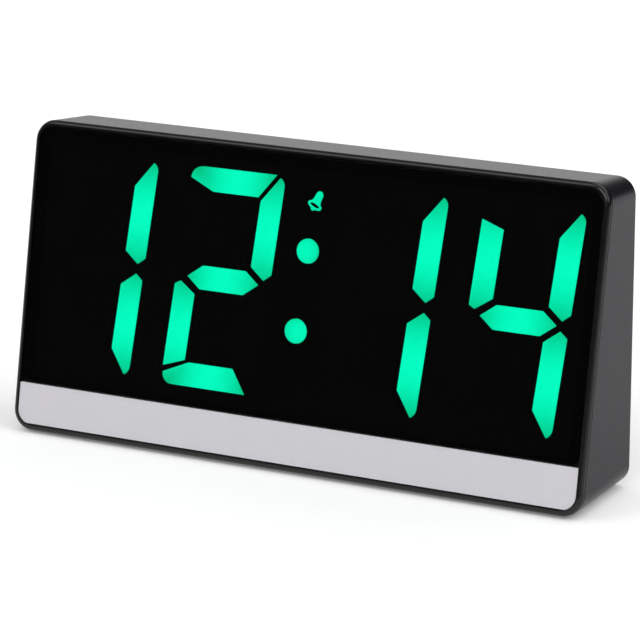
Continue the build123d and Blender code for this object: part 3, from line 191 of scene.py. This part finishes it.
def between(tree, amount, low, high):
    """Number that goes from low to high with a pattern."""
    ends = {"From Min": 0.25, "From Max": 0.75, "To Min": low, "To Max": high}
    node = add_node(tree, "ShaderNodeMapRange", ends)
    tree.links.new(amount, node.inputs["Value"])
    return node.outputs["Result"]


def mixed(tree, amount, first, second):
    """Colour that goes from the first to the second with a pattern; either may be a colour or an output."""
    node = add_node(tree, "ShaderNodeMix", data_type="RGBA")
    tree.links.new(amount, node.inputs["Factor"])
    for socket, colour in zip(("A", "B"), (first, second)):
        target = [s for s in node.inputs if s.name == socket and s.type == "RGBA"][0]
        if isinstance(colour, bpy.types.NodeSocket):
            tree.links.new(colour, target)
        else:
            target.default_value = (*colour, 1.0)
    return [s for s in node.outputs if s.type == "RGBA"][0]


def grain(tree, shader, height, depth):
    """Relief of a given depth on the whole surface."""
    bump = add_node(tree, "ShaderNodeBump", {"Strength": 1.0, "Distance": depth})
    tree.links.new(height, bump.inputs["Height"])
    tree.links.new(bump.outputs["Normal"], shader.inputs["Normal"])


def moulded_plastic(name, dark, pale, gloss, grain_size, grain_depth, specular=0.5):
    """Moulded plastic: faint flow marks in the colour, uneven gloss and the grain of the mould."""
    material, tree, shader = new_finish(name)
    where = place(tree)
    flow = noise(tree, where, FLOW_MARKS)
    skin = noise(tree, where, grain_size, 2.0)
    tree.links.new(mixed(tree, flow, dark, pale), shader.inputs["Base Color"])
    tree.links.new(between(tree, skin, *gloss), shader.inputs["Roughness"])
    shader.inputs["Specular IOR Level"].default_value = specular
    grain(tree, shader, skin, grain_depth)
    return material


def coat(material, *names):
    """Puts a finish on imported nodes."""
    for name in names:
        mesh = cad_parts[name].data
        mesh.materials.clear()
        mesh.materials.append(material)


housing_black = moulded_plastic(
    "housing_black", (0.003, 0.003, 0.003), (0.005, 0.005, 0.005), (0.85, 0.95), 0.0004, 4e-6, 0.02
)
coat(housing_black, "segment_housing")


# Segments: milky plugs that fill the wells and spread the light of the chips behind them.
# Each is brightest at its middle and a little deeper green at its ends.
FACE_LEAN = radians(10.8)
SEAM_Y = -0.020981
FOOT_HEIGHT = 0.0008
DIGIT_MIDDLE = 0.06175
HALF_DIGIT = 0.038
BAR_LENGTH = 0.031
DIGIT_SLANT = radians(4.0)
DIGIT_CENTRES = {"hour_tens": -0.08055, "hour_ones": -0.0308, "minute_tens": 0.0308, "minute_ones": 0.08055}
DOT_RISES = (-0.01375, 0.01375)
DOT_RADIUS = 0.0042
BELL_RISE = 0.0319
BELL_RADIUS = 0.006
LIT_MIDDLE = (0.0, 0.985, 0.535)
LIT_END = (0.0, 0.50, 0.20)
LENS_SIDE_PASSES = 0.58


def face_place(tree, across, rise):
    """Across and up on the leaning face, counted from a place on it, with the digits' slant taken out."""
    origin_y = SEAM_Y + rise * sin(FACE_LEAN)
    origin_z = FOOT_HEIGHT + rise * cos(FACE_LEAN)
    turned_z = origin_y * sin(FACE_LEAN) + origin_z * cos(FACE_LEAN)
    split = add_node(tree, "ShaderNodeSeparateXYZ")
    tree.links.new(place(tree, (-across, 0.0, -turned_z), (FACE_LEAN, 0.0, 0.0)), split.inputs["Vector"])
    up = split.outputs["Z"]
    lean = math_node(tree, "MULTIPLY", up, tan(DIGIT_SLANT))
    return math_node(tree, "SUBTRACT", split.outputs["X"], lean), up


def lit_plastic(name, brightness):
    """Milky green plastic that glows by a pattern of brightness made by a function of its node tree."""
    material, tree, shader = new_finish(name)
    glow = brightness(tree)
    speckle = between(tree, noise(tree, place(tree), 0.0025), 0.96, 1.02)
    tree.links.new(mixed(tree, glow, LIT_END, LIT_MIDDLE), shader.inputs["Emission Color"])
    strength = math_node(tree, "MULTIPLY", speckle, LENS_SIDE_PASSES**-2)
    tree.links.new(strength, shader.inputs["Emission Strength"])
    shader.inputs["Base Color"].default_value = (0.002, 0.05, 0.035, 1.0)
    shader.inputs["Roughness"].default_value = 0.7
    shader.inputs["Specular IOR Level"].default_value = 0.03
    return material


def digit_glow(across):
    """Brightness of a digit's segments: high between the ends of each upright and of each bar."""

    def brightness(tree):
        aside, up = face_place(tree, across, DIGIT_MIDDLE)
        wave = math_node(tree, "SINE", math_node(tree, "MULTIPLY", up, pi / HALF_DIGIT))
        bar = math_node(tree, "COSINE", math_node(tree, "MULTIPLY", aside, pi / BAR_LENGTH))
        return math_node(tree, "MAXIMUM", math_node(tree, "ABSOLUTE", wave), bar)

    return brightness


def spot_glow(across, rises, radius, peak):
    """Brightness of round lights: at its peak at the middle of each, and a third less at the edge."""

    def brightness(tree):
        best = 0.0
        for rise in rises:
            aside, up = face_place(tree, across, DIGIT_MIDDLE + rise)
            squares = [math_node(tree, "POWER", distance, 2.0) for distance in (aside, up)]
            far = math_node(tree, "ADD", *squares)
            fall = math_node(tree, "SUBTRACT", peak, math_node(tree, "MULTIPLY", far, 0.33 / radius**2))
            best = math_node(tree, "MAXIMUM", best, fall)
        return best

    return brightness


milky_dark = moulded_plastic(
    "dark_segment", (0.003, 0.0035, 0.003), (0.005, 0.006, 0.005), (0.7, 0.85), 0.0006, 3e-6, 0.02
)
for digit, across in DIGIT_CENTRES.items():
    coat(lit_plastic("lit_green_" + digit, digit_glow(across)), digit + "_lit_segments")
    coat(milky_dark, digit + "_dark_segments")
dot_glow = spot_glow(0.0, DOT_RISES, DOT_RADIUS, 0.95)
bell_glow = spot_glow(BELL_RISE * tan(DIGIT_SLANT), (BELL_RISE,), BELL_RADIUS, 0.72)
coat(lit_plastic("lit_green_dots", dot_glow), "colon_dots")
coat(lit_plastic("lit_green_bell", bell_glow), "alarm_bell_icon")


# Printed boards: green lacquer over copper tracks, with a glass-fibre weave under it.
# One carries the light chips behind the light box, the other the controls on the back.
def printed_board(name, turn):
    """Board with straight tracks, seen as paler green under the lacquer."""
    material, tree, shader = new_finish(name)
    where = place(tree, turn=turn)
    tracks = add_node(
        tree,
        "ShaderNodeTexBrick",
        {"Scale": 90.0, "Mortar Size": 0.045, "Mortar Smooth": 0.1, "Brick Width": 0.9, "Row Height": 0.22},
        offset=0.37,
    )
    tree.links.new(where, tracks.inputs["Vector"])
    weave = noise(tree, where, 0.0006)
    lacquer = mixed(tree, weave, (0.006, 0.055, 0.022), (0.010, 0.075, 0.030))
    tracked = mixed(tree, tracks.outputs["Fac"], lacquer, (0.03, 0.17, 0.07))
    tree.links.new(tracked, shader.inputs["Base Color"])
    tree.links.new(between(tree, weave, 0.28, 0.42), shader.inputs["Roughness"])
    grain(tree, shader, tracks.outputs["Fac"], 3e-5)
    return material


coat(printed_board("led_board_green", (pi / 2 + FACE_LEAN, 0.0, 0.0)), "led_board")
coat(printed_board("main_board_green", (pi / 2, 0.0, 0.0)), "main_board")


# Parts on the boards: light chips, driver and control chips, crystal, capacitors, headers and ribbon.
# They are soldered on; the ribbon joins the two boards and is pressed into the headers.
def plated_metal(name, dark, pale, gloss, streak, depth):
    """Metal with streaks of its making: place is stretched by the streak along each axis."""
    material, tree, shader = new_finish(name)
    lines = noise(tree, place(tree, scale=streak), 0.001)
    tree.links.new(mixed(tree, lines, dark, pale), shader.inputs["Base Color"])
    tree.links.new(between(tree, lines, *gloss), shader.inputs["Roughness"])
    shader.inputs["Metallic"].default_value = 1.0
    grain(tree, shader, lines, depth)
    return material


coat(
    moulded_plastic("led_chip", (0.62, 0.60, 0.44), (0.74, 0.72, 0.58), (0.35, 0.5), 0.0005, 4e-6),
    "led_chips",
)
coat(
    moulded_plastic("chip_black", (0.010, 0.010, 0.011), (0.018, 0.018, 0.019), (0.5, 0.7), 0.00015, 6e-6),
    "display_driver",
    "control_chip",
)
coat(
    plated_metal("steel_can", (0.50, 0.50, 0.49), (0.66, 0.66, 0.65), (0.2, 0.34), (1.0, 1.0, 0.1), 4e-6),
    "quartz_crystal",
)
coat(
    moulded_plastic("header_plastic", (0.66, 0.63, 0.55), (0.74, 0.71, 0.63), (0.4, 0.55), 0.0003, 5e-6),
    "ribbon_headers",
)

BARE_END = 0.0009
material, tree, shader = new_finish("capacitor_can")
split = add_node(tree, "ShaderNodeSeparateXYZ")
tree.links.new(place(tree), split.inputs["Vector"])
sleeve_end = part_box("filter_capacitors")[1].y - BARE_END
bare_end = math_node(tree, "GREATER_THAN", split.outputs["Y"], sleeve_end)
streaks = noise(tree, place(tree, scale=(1.0, 0.1, 1.0)), 0.0006)
sleeve = mixed(tree, streaks, (0.010, 0.016, 0.05), (0.016, 0.024, 0.07))
bare = mixed(tree, streaks, (0.55, 0.55, 0.56), (0.70, 0.70, 0.71))
tree.links.new(mixed(tree, bare_end, sleeve, bare), shader.inputs["Base Color"])
tree.links.new(bare_end, shader.inputs["Metallic"])
tree.links.new(between(tree, streaks, 0.25, 0.4), shader.inputs["Roughness"])
coat(material, "filter_capacitors")

WIRE_PITCH = 0.00127
material, tree, shader = new_finish("ribbon_grey")
split = add_node(tree, "ShaderNodeSeparateXYZ")
tree.links.new(place(tree), split.inputs["Vector"])
wire = math_node(tree, "FRACT", math_node(tree, "DIVIDE", split.outputs["X"], WIRE_PITCH))
ridge = math_node(tree, "SINE", math_node(tree, "MULTIPLY", wire, pi))
first_wire = math_node(tree, "LESS_THAN", split.outputs["X"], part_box("ribbon_cable")[0].x + WIRE_PITCH)
grey = mixed(tree, ridge, (0.20, 0.20, 0.21), (0.36, 0.36, 0.37))
tree.links.new(mixed(tree, first_wire, grey, (0.45, 0.03, 0.02)), shader.inputs["Base Color"])
shader.inputs["Roughness"].default_value = 0.5
grain(tree, shader, ridge, 1e-4)
coat(material, "ribbon_cable")


# Switches, dimmer and buzzer on the rear board: black and brown moulded bodies with a steel shaft.
# The white plungers are what the buttons push.
coat(
    moulded_plastic("switch_black", (0.012, 0.012, 0.013), (0.022, 0.022, 0.023), (0.4, 0.55), 0.0003, 6e-6),
    "tact_switches",
    "alarm_switch_body",
    "buzzer",
)
coat(
    moulded_plastic("plunger_white", (0.66, 0.66, 0.64), (0.76, 0.76, 0.74), (0.35, 0.5), 0.0004, 4e-6),
    *[name + "_plunger" for name in ("set", "alarm", "plus", "minus", "snooze")],
)
coat(
    moulded_plastic("dimmer_body", (0.05, 0.030, 0.018), (0.08, 0.05, 0.030), (0.45, 0.6), 0.0004, 8e-6),
    "dimmer_pot",
)
coat(
    plated_metal("shaft_steel", (0.42, 0.42, 0.41), (0.58, 0.58, 0.57), (0.22, 0.35), (1.0, 1.0, 0.05), 3e-6),
    "dimmer_shaft",
)


# Power inlet: a stamped steel shell, plated bright, with a black tongue inside it.
# It is soldered to the foot of the rear board and shows through the back of the case.
nickel = plated_metal(
    "contact_nickel", (0.56, 0.54, 0.50), (0.70, 0.68, 0.63), (0.18, 0.3), (1.0, 0.15, 1.0), 4e-6
)
coat(nickel, "usb_inlet_shell", "battery_contact_negative", "battery_contact_positive")
coat(
    moulded_plastic("tongue_black", (0.010, 0.010, 0.010), (0.018, 0.018, 0.018), (0.4, 0.55), 0.0003, 4e-6),
    "usb_inlet_tongue",
)


# Front frame: a gloss black moulding with a rounded rim that carries the window and the strip.
# Its skirt snaps into the rear case, and a fine groove is left between the two.
bezel_gloss = moulded_plastic(
    "bezel_gloss_black", (0.002, 0.002, 0.002), (0.004, 0.004, 0.004), (0.16, 0.24), 0.0012, 2e-6, 0.38
)
coat(bezel_gloss, "front_bezel")


# Window: a sheet of smoked acrylic, so dark that only lit segments show through it.
# It is dropped into the front frame and lies on its ledge.
material, tree, shader = new_finish("smoked_acrylic")
haze = noise(tree, place(tree), 0.03)
smoke = mixed(tree, haze, (0.0008, 0.0008, 0.0008), (0.0016, 0.0016, 0.0016))
tree.links.new(smoke, shader.inputs["Base Color"])
tree.links.new(between(tree, haze, 0.05, 0.09), shader.inputs["Roughness"])
shader.inputs["Alpha"].default_value = 1.0 - LENS_SIDE_PASSES
shader.inputs["Specular IOR Level"].default_value = 0.4
coat(material, "front_lens")

BORDER_OUTER = (0.1074, 0.0171, 0.1073)
BORDER_INNER = (0.1036, 0.0191, 0.1034)
BORDER_OUTER_CORNER = 0.004
BORDER_INNER_CORNER = 0.002
BORDER_DEPTH = 0.00103
BORDER_FILM = 0.00004
FACE_MATRIX = Matrix.Translation((0.0, SEAM_Y, FOOT_HEIGHT)) @ Matrix.Rotation(pi / 2 - FACE_LEAN, 4, "X")


def new_piece(name, shape, material, body="clock_case"):
    """Piece of the clock from a finished shape, which keeps its place in its mesh."""
    mesh = bpy.data.meshes.new(name)
    shape.to_mesh(mesh)
    shape.free()
    mesh.materials.append(material)
    piece = bpy.data.objects.new(name, mesh)
    scene.collection.objects.link(piece)
    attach(piece, body)
    return piece


def rounded_plate(shape, half_width, bottom, top, corner, across=0.0, turn=0.0):
    """Flat face with rounded corners between two heights, moved across and then turned about the middle."""
    spot = Matrix.Translation((across, (top + bottom) / 2, 0.0))
    size = Matrix.Diagonal((half_width, (top - bottom) / 2, 1.0, 1.0))
    where = Matrix.Rotation(turn, 4, "Z") @ spot @ size
    corners = bmesh.ops.create_grid(shape, x_segments=1, y_segments=1, size=1.0, matrix=where)["verts"]
    bmesh.ops.bevel(
        shape, geom=corners, offset=corner, segments=6, profile=0.5, affect="VERTICES", material=-1
    )


shape = bmesh.new()
rounded_plate(shape, *BORDER_OUTER, BORDER_OUTER_CORNER)
rounded_plate(shape, *BORDER_INNER, BORDER_INNER_CORNER)
rims = list(shape.edges)
bmesh.ops.delete(shape, geom=list(shape.faces), context="FACES_ONLY")
bmesh.ops.bridge_loops(shape, edges=rims)
film = bmesh.ops.extrude_face_region(shape, geom=list(shape.faces))
film_top = [part for part in film["geom"] if isinstance(part, bmesh.types.BMVert)]
bmesh.ops.translate(shape, vec=(0.0, 0.0, BORDER_FILM), verts=film_top)
bmesh.ops.translate(shape, vec=(0.0, 0.0, BORDER_DEPTH), verts=list(shape.verts))
bmesh.ops.recalc_face_normals(shape, faces=list(shape.faces))
bmesh.ops.transform(shape, matrix=FACE_MATRIX, verts=list(shape.verts))
border_ink = moulded_plastic(
    "border_ink", (0.0006, 0.0006, 0.0006), (0.0012, 0.0012, 0.0012), (0.8, 0.95), 0.0006, 2e-6, 0.01
)
new_piece("window_border", shape, border_ink)


# Strip along the foot of the face: thin satin silver sheet, brushed along its length.
# It is glued into the front frame below the window.
material, tree, shader = new_finish("satin_silver")
brushed = noise(tree, place(tree, scale=(0.02, 1.0, 1.0)), 0.00012, 4.0)
silver = mixed(tree, brushed, (0.690, 0.672, 0.715), (0.730, 0.712, 0.755))
tree.links.new(silver, shader.inputs["Base Color"])
tree.links.new(between(tree, brushed, 0.34, 0.46), shader.inputs["Roughness"])
shader.inputs["Metallic"].default_value = 0.15
grain(tree, shader, brushed, 2e-6)
coat(material, "trim_strip")


# Rear case: one satin black moulding with a fine spark-eroded grain.
# It takes the front frame's snaps and three screws from behind, and stands on rubber feet.
SHELL_SHEEN = (0.86, 0.82, 1.0, 1.0)
SHELL_IOR = 1.18
shell_plastic = moulded_plastic(
    "shell_satin_black", (0.006, 0.0055, 0.0080), (0.0095, 0.0087, 0.0128), (0.22, 0.32), 0.0004, 5e-6
)
shell_shader = shell_plastic.node_tree.nodes["Principled BSDF"]
shell_shader.inputs["Specular Tint"].default_value = SHELL_SHEEN
shell_shader.inputs["IOR"].default_value = SHELL_IOR
coat(shell_plastic, "rear_shell", "battery_door")
foot_rubber = moulded_plastic(
    "foot_rubber", (0.012, 0.012, 0.012), (0.022, 0.022, 0.022), (0.75, 0.95), 0.0005, 2e-5, 0.3
)
coat(foot_rubber, "rubber_feet")
coat(
    plated_metal("screw_steel", (0.30, 0.30, 0.31), (0.44, 0.44, 0.45), (0.25, 0.4), (1.0, 0.2, 1.0), 5e-6),
    "case_screws",
    "board_screws",
)


# Controls on the back: five soft grey buttons, the alarm switch's knob and the dimmer's notched wheel.
# The buttons rest on the switches' plungers, and each carries a printed sign.
coat(
    moulded_plastic("button_grey", (0.10, 0.10, 0.105), (0.125, 0.125, 0.13), (0.5, 0.62), 0.0004, 8e-6),
    *[name + "_button" for name in ("set", "alarm", "plus", "minus", "snooze")],
    "alarm_switch_knob",
)
coat(
    moulded_plastic("wheel_black", (0.014, 0.014, 0.015), (0.024, 0.024, 0.025), (0.42, 0.55), 0.0003, 8e-6),
    "dimmer_wheel",
)


# Signs on the buttons: a clock, a bell, a plus, a minus and a moon for set, alarm, up, down and snooze.
# They stand a little proud of the caps, are printed pale, and move with their buttons.
SIGN_PROUD = 0.00012
SIGN_SUNK = 0.00003
BACK_TURN = Matrix(((-1.0, 0.0, 0.0, 0.0), (0.0, 0.0, 1.0, 0.0), (0.0, 1.0, 0.0, 0.0), (0.0, 0.0, 0.0, 1.0)))
pale_print = moulded_plastic("sign_print", (0.50, 0.50, 0.50), (0.58, 0.58, 0.57), (0.5, 0.65), 0.0002, 2e-6)


def raised_sign(name, shape, spot, body="clock_case", finish=pale_print):
    """Thin raised sign on the back, from flat faces drawn about the origin as seen from behind."""
    lifted = bmesh.ops.extrude_face_region(shape, geom=list(shape.faces))["geom"]
    crest = [part for part in lifted if isinstance(part, bmesh.types.BMVert)]
    bmesh.ops.translate(shape, vec=(0.0, 0.0, SIGN_SUNK + SIGN_PROUD), verts=crest)
    bmesh.ops.recalc_face_normals(shape, faces=list(shape.faces))
    where = Matrix.Translation(spot - Vector((0.0, SIGN_SUNK, 0.0))) @ BACK_TURN
    bmesh.ops.transform(shape, matrix=where, verts=list(shape.verts))
    new_piece(name, shape, finish, body)


def ring(shape, radius, thickness):
    """Flat ring about the origin."""
    rim = bmesh.ops.create_circle(shape, cap_ends=True, segments=40, radius=radius)["verts"]
    disc = rim[0].link_faces[0]
    bmesh.ops.inset_region(shape, faces=[disc], thickness=thickness, use_boundary=True)
    bmesh.ops.delete(shape, geom=[disc], context="FACES_ONLY")


def clock_sign():
    """Small clock: a ring with two hands."""
    shape = bmesh.new()
    ring(shape, 0.0024, 0.0004)
    rounded_plate(shape, 0.0002, -0.0002, 0.0015, 0.0001)
    rounded_plate(shape, 0.0002, 0.0002, 0.0012, 0.0001, turn=-pi / 2)
    return shape


def bell_sign(size=1.0):
    """Small bell: a domed body with a flared lip, and its clapper below."""
    shape = bmesh.new()
    bmesh.ops.create_grid(shape, x_segments=1, y_segments=1, size=0.0012 * size)
    crown = [corner for corner in shape.verts if corner.co.y > 0.0]
    foot = [edge for edge in shape.edges if all(corner.co.y < 0.0 for corner in edge.verts)]
    flared = bmesh.ops.extrude_edge_only(shape, edges=foot)["geom"]
    lip = [part for part in flared if isinstance(part, bmesh.types.BMVert)]
    bmesh.ops.translate(shape, vec=(0.0, -0.0007 * size, 0.0), verts=lip)
    bmesh.ops.scale(shape, vec=(1.6, 1.0, 1.0), verts=lip)
    bmesh.ops.bevel(
        shape, geom=crown, offset=0.00115 * size, segments=8, profile=0.5, affect="VERTICES", material=-1
    )
    clapper = Matrix.Translation((0.0, -0.0024 * size, 0.0))
    bmesh.ops.create_circle(shape, cap_ends=True, segments=20, radius=0.0004 * size, matrix=clapper)
    bmesh.ops.translate(shape, vec=(0.0, 0.0007 * size, 0.0), verts=list(shape.verts))
    return shape


def plus_sign():
    """Plus: four arms drawn out of a small square."""
    shape = bmesh.new()
    bmesh.ops.create_grid(shape, x_segments=1, y_segments=1, size=0.00035)
    for edge in list(shape.edges):
        outwards = (edge.verts[0].co + edge.verts[1].co).normalized() * 0.0016
        arm = bmesh.ops.extrude_edge_only(shape, edges=[edge])["geom"]
        tip = [part for part in arm if isinstance(part, bmesh.types.BMVert)]
        bmesh.ops.translate(shape, vec=outwards, verts=tip)
    return shape


def minus_sign():
    """Minus: one bar."""
    shape = bmesh.new()
    rounded_plate(shape, 0.00195, -0.00035, 0.00035, 0.0001)
    return shape


def moon_sign():
    """Crescent moon: two arcs that meet at its tips, bridged."""
    shape = bmesh.new()
    tip = Vector((0.00134, 0.00175, 0.0))
    for middle, degrees in ((0.0, 255.0), (0.0009, 208.2)):
        bmesh.ops.spin(
            shape,
            geom=[shape.verts.new(tip)],
            cent=(middle, 0.0, 0.0),
            axis=(0.0, 0.0, 1.0),
            angle=radians(degrees),
            steps=28,
        )
    bmesh.ops.bridge_loops(shape, edges=list(shape.edges))
    bmesh.ops.remove_doubles(shape, verts=list(shape.verts), dist=1e-5)
    return shape


BUTTON_SIGNS = {
    "set": clock_sign,
    "alarm": bell_sign,
    "plus": plus_sign,
    "minus": minus_sign,
    "snooze": moon_sign,
}
for name, sign in BUTTON_SIGNS.items():
    low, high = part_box(name + "_button")
    cap_middle = Vector(((low.x + high.x) / 2, high.y, (low.z + high.z) / 2))
    raised_sign(name + "_sign", sign(), cap_middle, name + "_press")


# Marks on the rear case: on and off by the alarm switch, suns by the wheel, direct current by the inlet.
# They are printed on the case; the arrow on the battery door shows where to lift it.
back_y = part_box("rear_shell")[1].y


def on_back(across, height):
    """Place on the back of the case as seen from behind."""
    return Vector((-across, back_y, height))


def word(letters, size):
    """Flat faces of a short word about the origin."""
    curve = bpy.data.curves.new(letters, "FONT")
    curve.body = letters
    curve.size = size
    curve.align_x = "CENTER"
    curve.align_y = "CENTER"
    holder = bpy.data.objects.new(letters, curve)
    flat = bpy.data.meshes.new_from_object(holder)
    shape = bmesh.new()
    shape.from_mesh(flat)
    bmesh.ops.remove_doubles(shape, verts=list(shape.verts), dist=1e-7)
    bpy.data.objects.remove(holder)
    bpy.data.curves.remove(curve)
    bpy.data.meshes.remove(flat)
    return shape


def sun_sign(radius, ray_length, ray_half):
    """Small sun: a disc with eight rays."""
    shape = bmesh.new()
    bmesh.ops.create_circle(shape, cap_ends=True, segments=32, radius=radius)
    start = radius + ray_length
    for index in range(8):
        rounded_plate(shape, ray_half, start, start + 2 * ray_length, ray_half / 2, turn=index * pi / 4)
    return shape


def direct_current_sign():
    """Whole bar over a broken one."""
    shape = bmesh.new()
    rounded_plate(shape, 0.0017, 0.0003, 0.0006, 0.00005)
    for across in (-0.00125, 0.0, 0.00125):
        rounded_plate(shape, 0.00045, -0.0006, -0.0003, 0.00005, across=across)
    return shape


def arrow_sign():
    """Triangle that points up."""
    shape = bmesh.new()
    corners = bmesh.ops.create_circle(shape, cap_ends=True, segments=3, radius=0.0019)["verts"]
    bmesh.ops.bevel(
        shape, geom=corners, offset=0.0002, segments=3, profile=0.5, affect="VERTICES", material=-1
    )
    return shape


WORD_SIZE = 0.0024
WORD_ASIDE = 0.0036
WORD_DROP = 0.0042
BELL_MARK_RISE = 0.0048
BELL_MARK_SIZE = 0.8
knob_low, knob_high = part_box("alarm_switch_knob")
switch_across = -(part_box("alarm_switch_body")[0].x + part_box("alarm_switch_body")[1].x) / 2
switch_height = (knob_low.z + knob_high.z) / 2
word_height = switch_height - WORD_DROP
raised_sign("alarm_on_mark", word("ON", WORD_SIZE), on_back(switch_across + WORD_ASIDE, word_height))
raised_sign("alarm_off_mark", word("OFF", WORD_SIZE), on_back(switch_across - WORD_ASIDE, word_height))
bell_spot = on_back(switch_across, switch_height + BELL_MARK_RISE)
raised_sign("alarm_bell_mark", bell_sign(BELL_MARK_SIZE), bell_spot)

BRIGHT_SUN = (0.0011, 0.0004, 0.00018)
BRIGHT_ASIDE = 0.0115
DIM_SUN = (0.0006, 0.0003, 0.00014)
DIM_ASIDE = 0.0108
wheel_low, wheel_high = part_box("dimmer_wheel")
wheel_across = -(wheel_low.x + wheel_high.x) / 2
wheel_height = (wheel_low.z + wheel_high.z) / 2
raised_sign("bright_mark", sun_sign(*BRIGHT_SUN), on_back(wheel_across + BRIGHT_ASIDE, wheel_height))
raised_sign("dim_mark", sun_sign(*DIM_SUN), on_back(wheel_across - DIM_ASIDE, wheel_height))

INLET_MARK_RISE = 0.0032
inlet_low, inlet_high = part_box("usb_inlet_shell")
inlet_across = -(inlet_low.x + inlet_high.x) / 2
raised_sign("inlet_mark", direct_current_sign(), on_back(inlet_across, inlet_high.z + INLET_MARK_RISE))

ARROW_DROP = 0.0115
arrow_spot = on_back(0.0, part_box("battery_door")[1].z - ARROW_DROP)
raised_sign("door_arrow", arrow_sign(), arrow_spot, "cell_door", shell_plastic)


# Backup cell: a stainless coin cell with a fine brushed can.
# Its plus is etched dark, and it lies between two nickel contacts behind the battery door.
coat(
    plated_metal("cell_steel", (0.54, 0.54, 0.53), (0.62, 0.62, 0.61), (0.24, 0.30), (1.0, 1.0, 0.1), 1e-6),
    "coin_cell",
)
cell_low, cell_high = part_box("coin_cell")
cell_spot = Vector((0.0, cell_high.y, (cell_low.z + cell_high.z) / 2))
cell_etch = plated_metal(
    "cell_etch", (0.12, 0.12, 0.12), (0.17, 0.17, 0.17), (0.5, 0.6), (1.0, 1.0, 1.0), 2e-6
)
raised_sign("cell_plus_mark", plus_sign(), cell_spot, "clock_case", cell_etch)
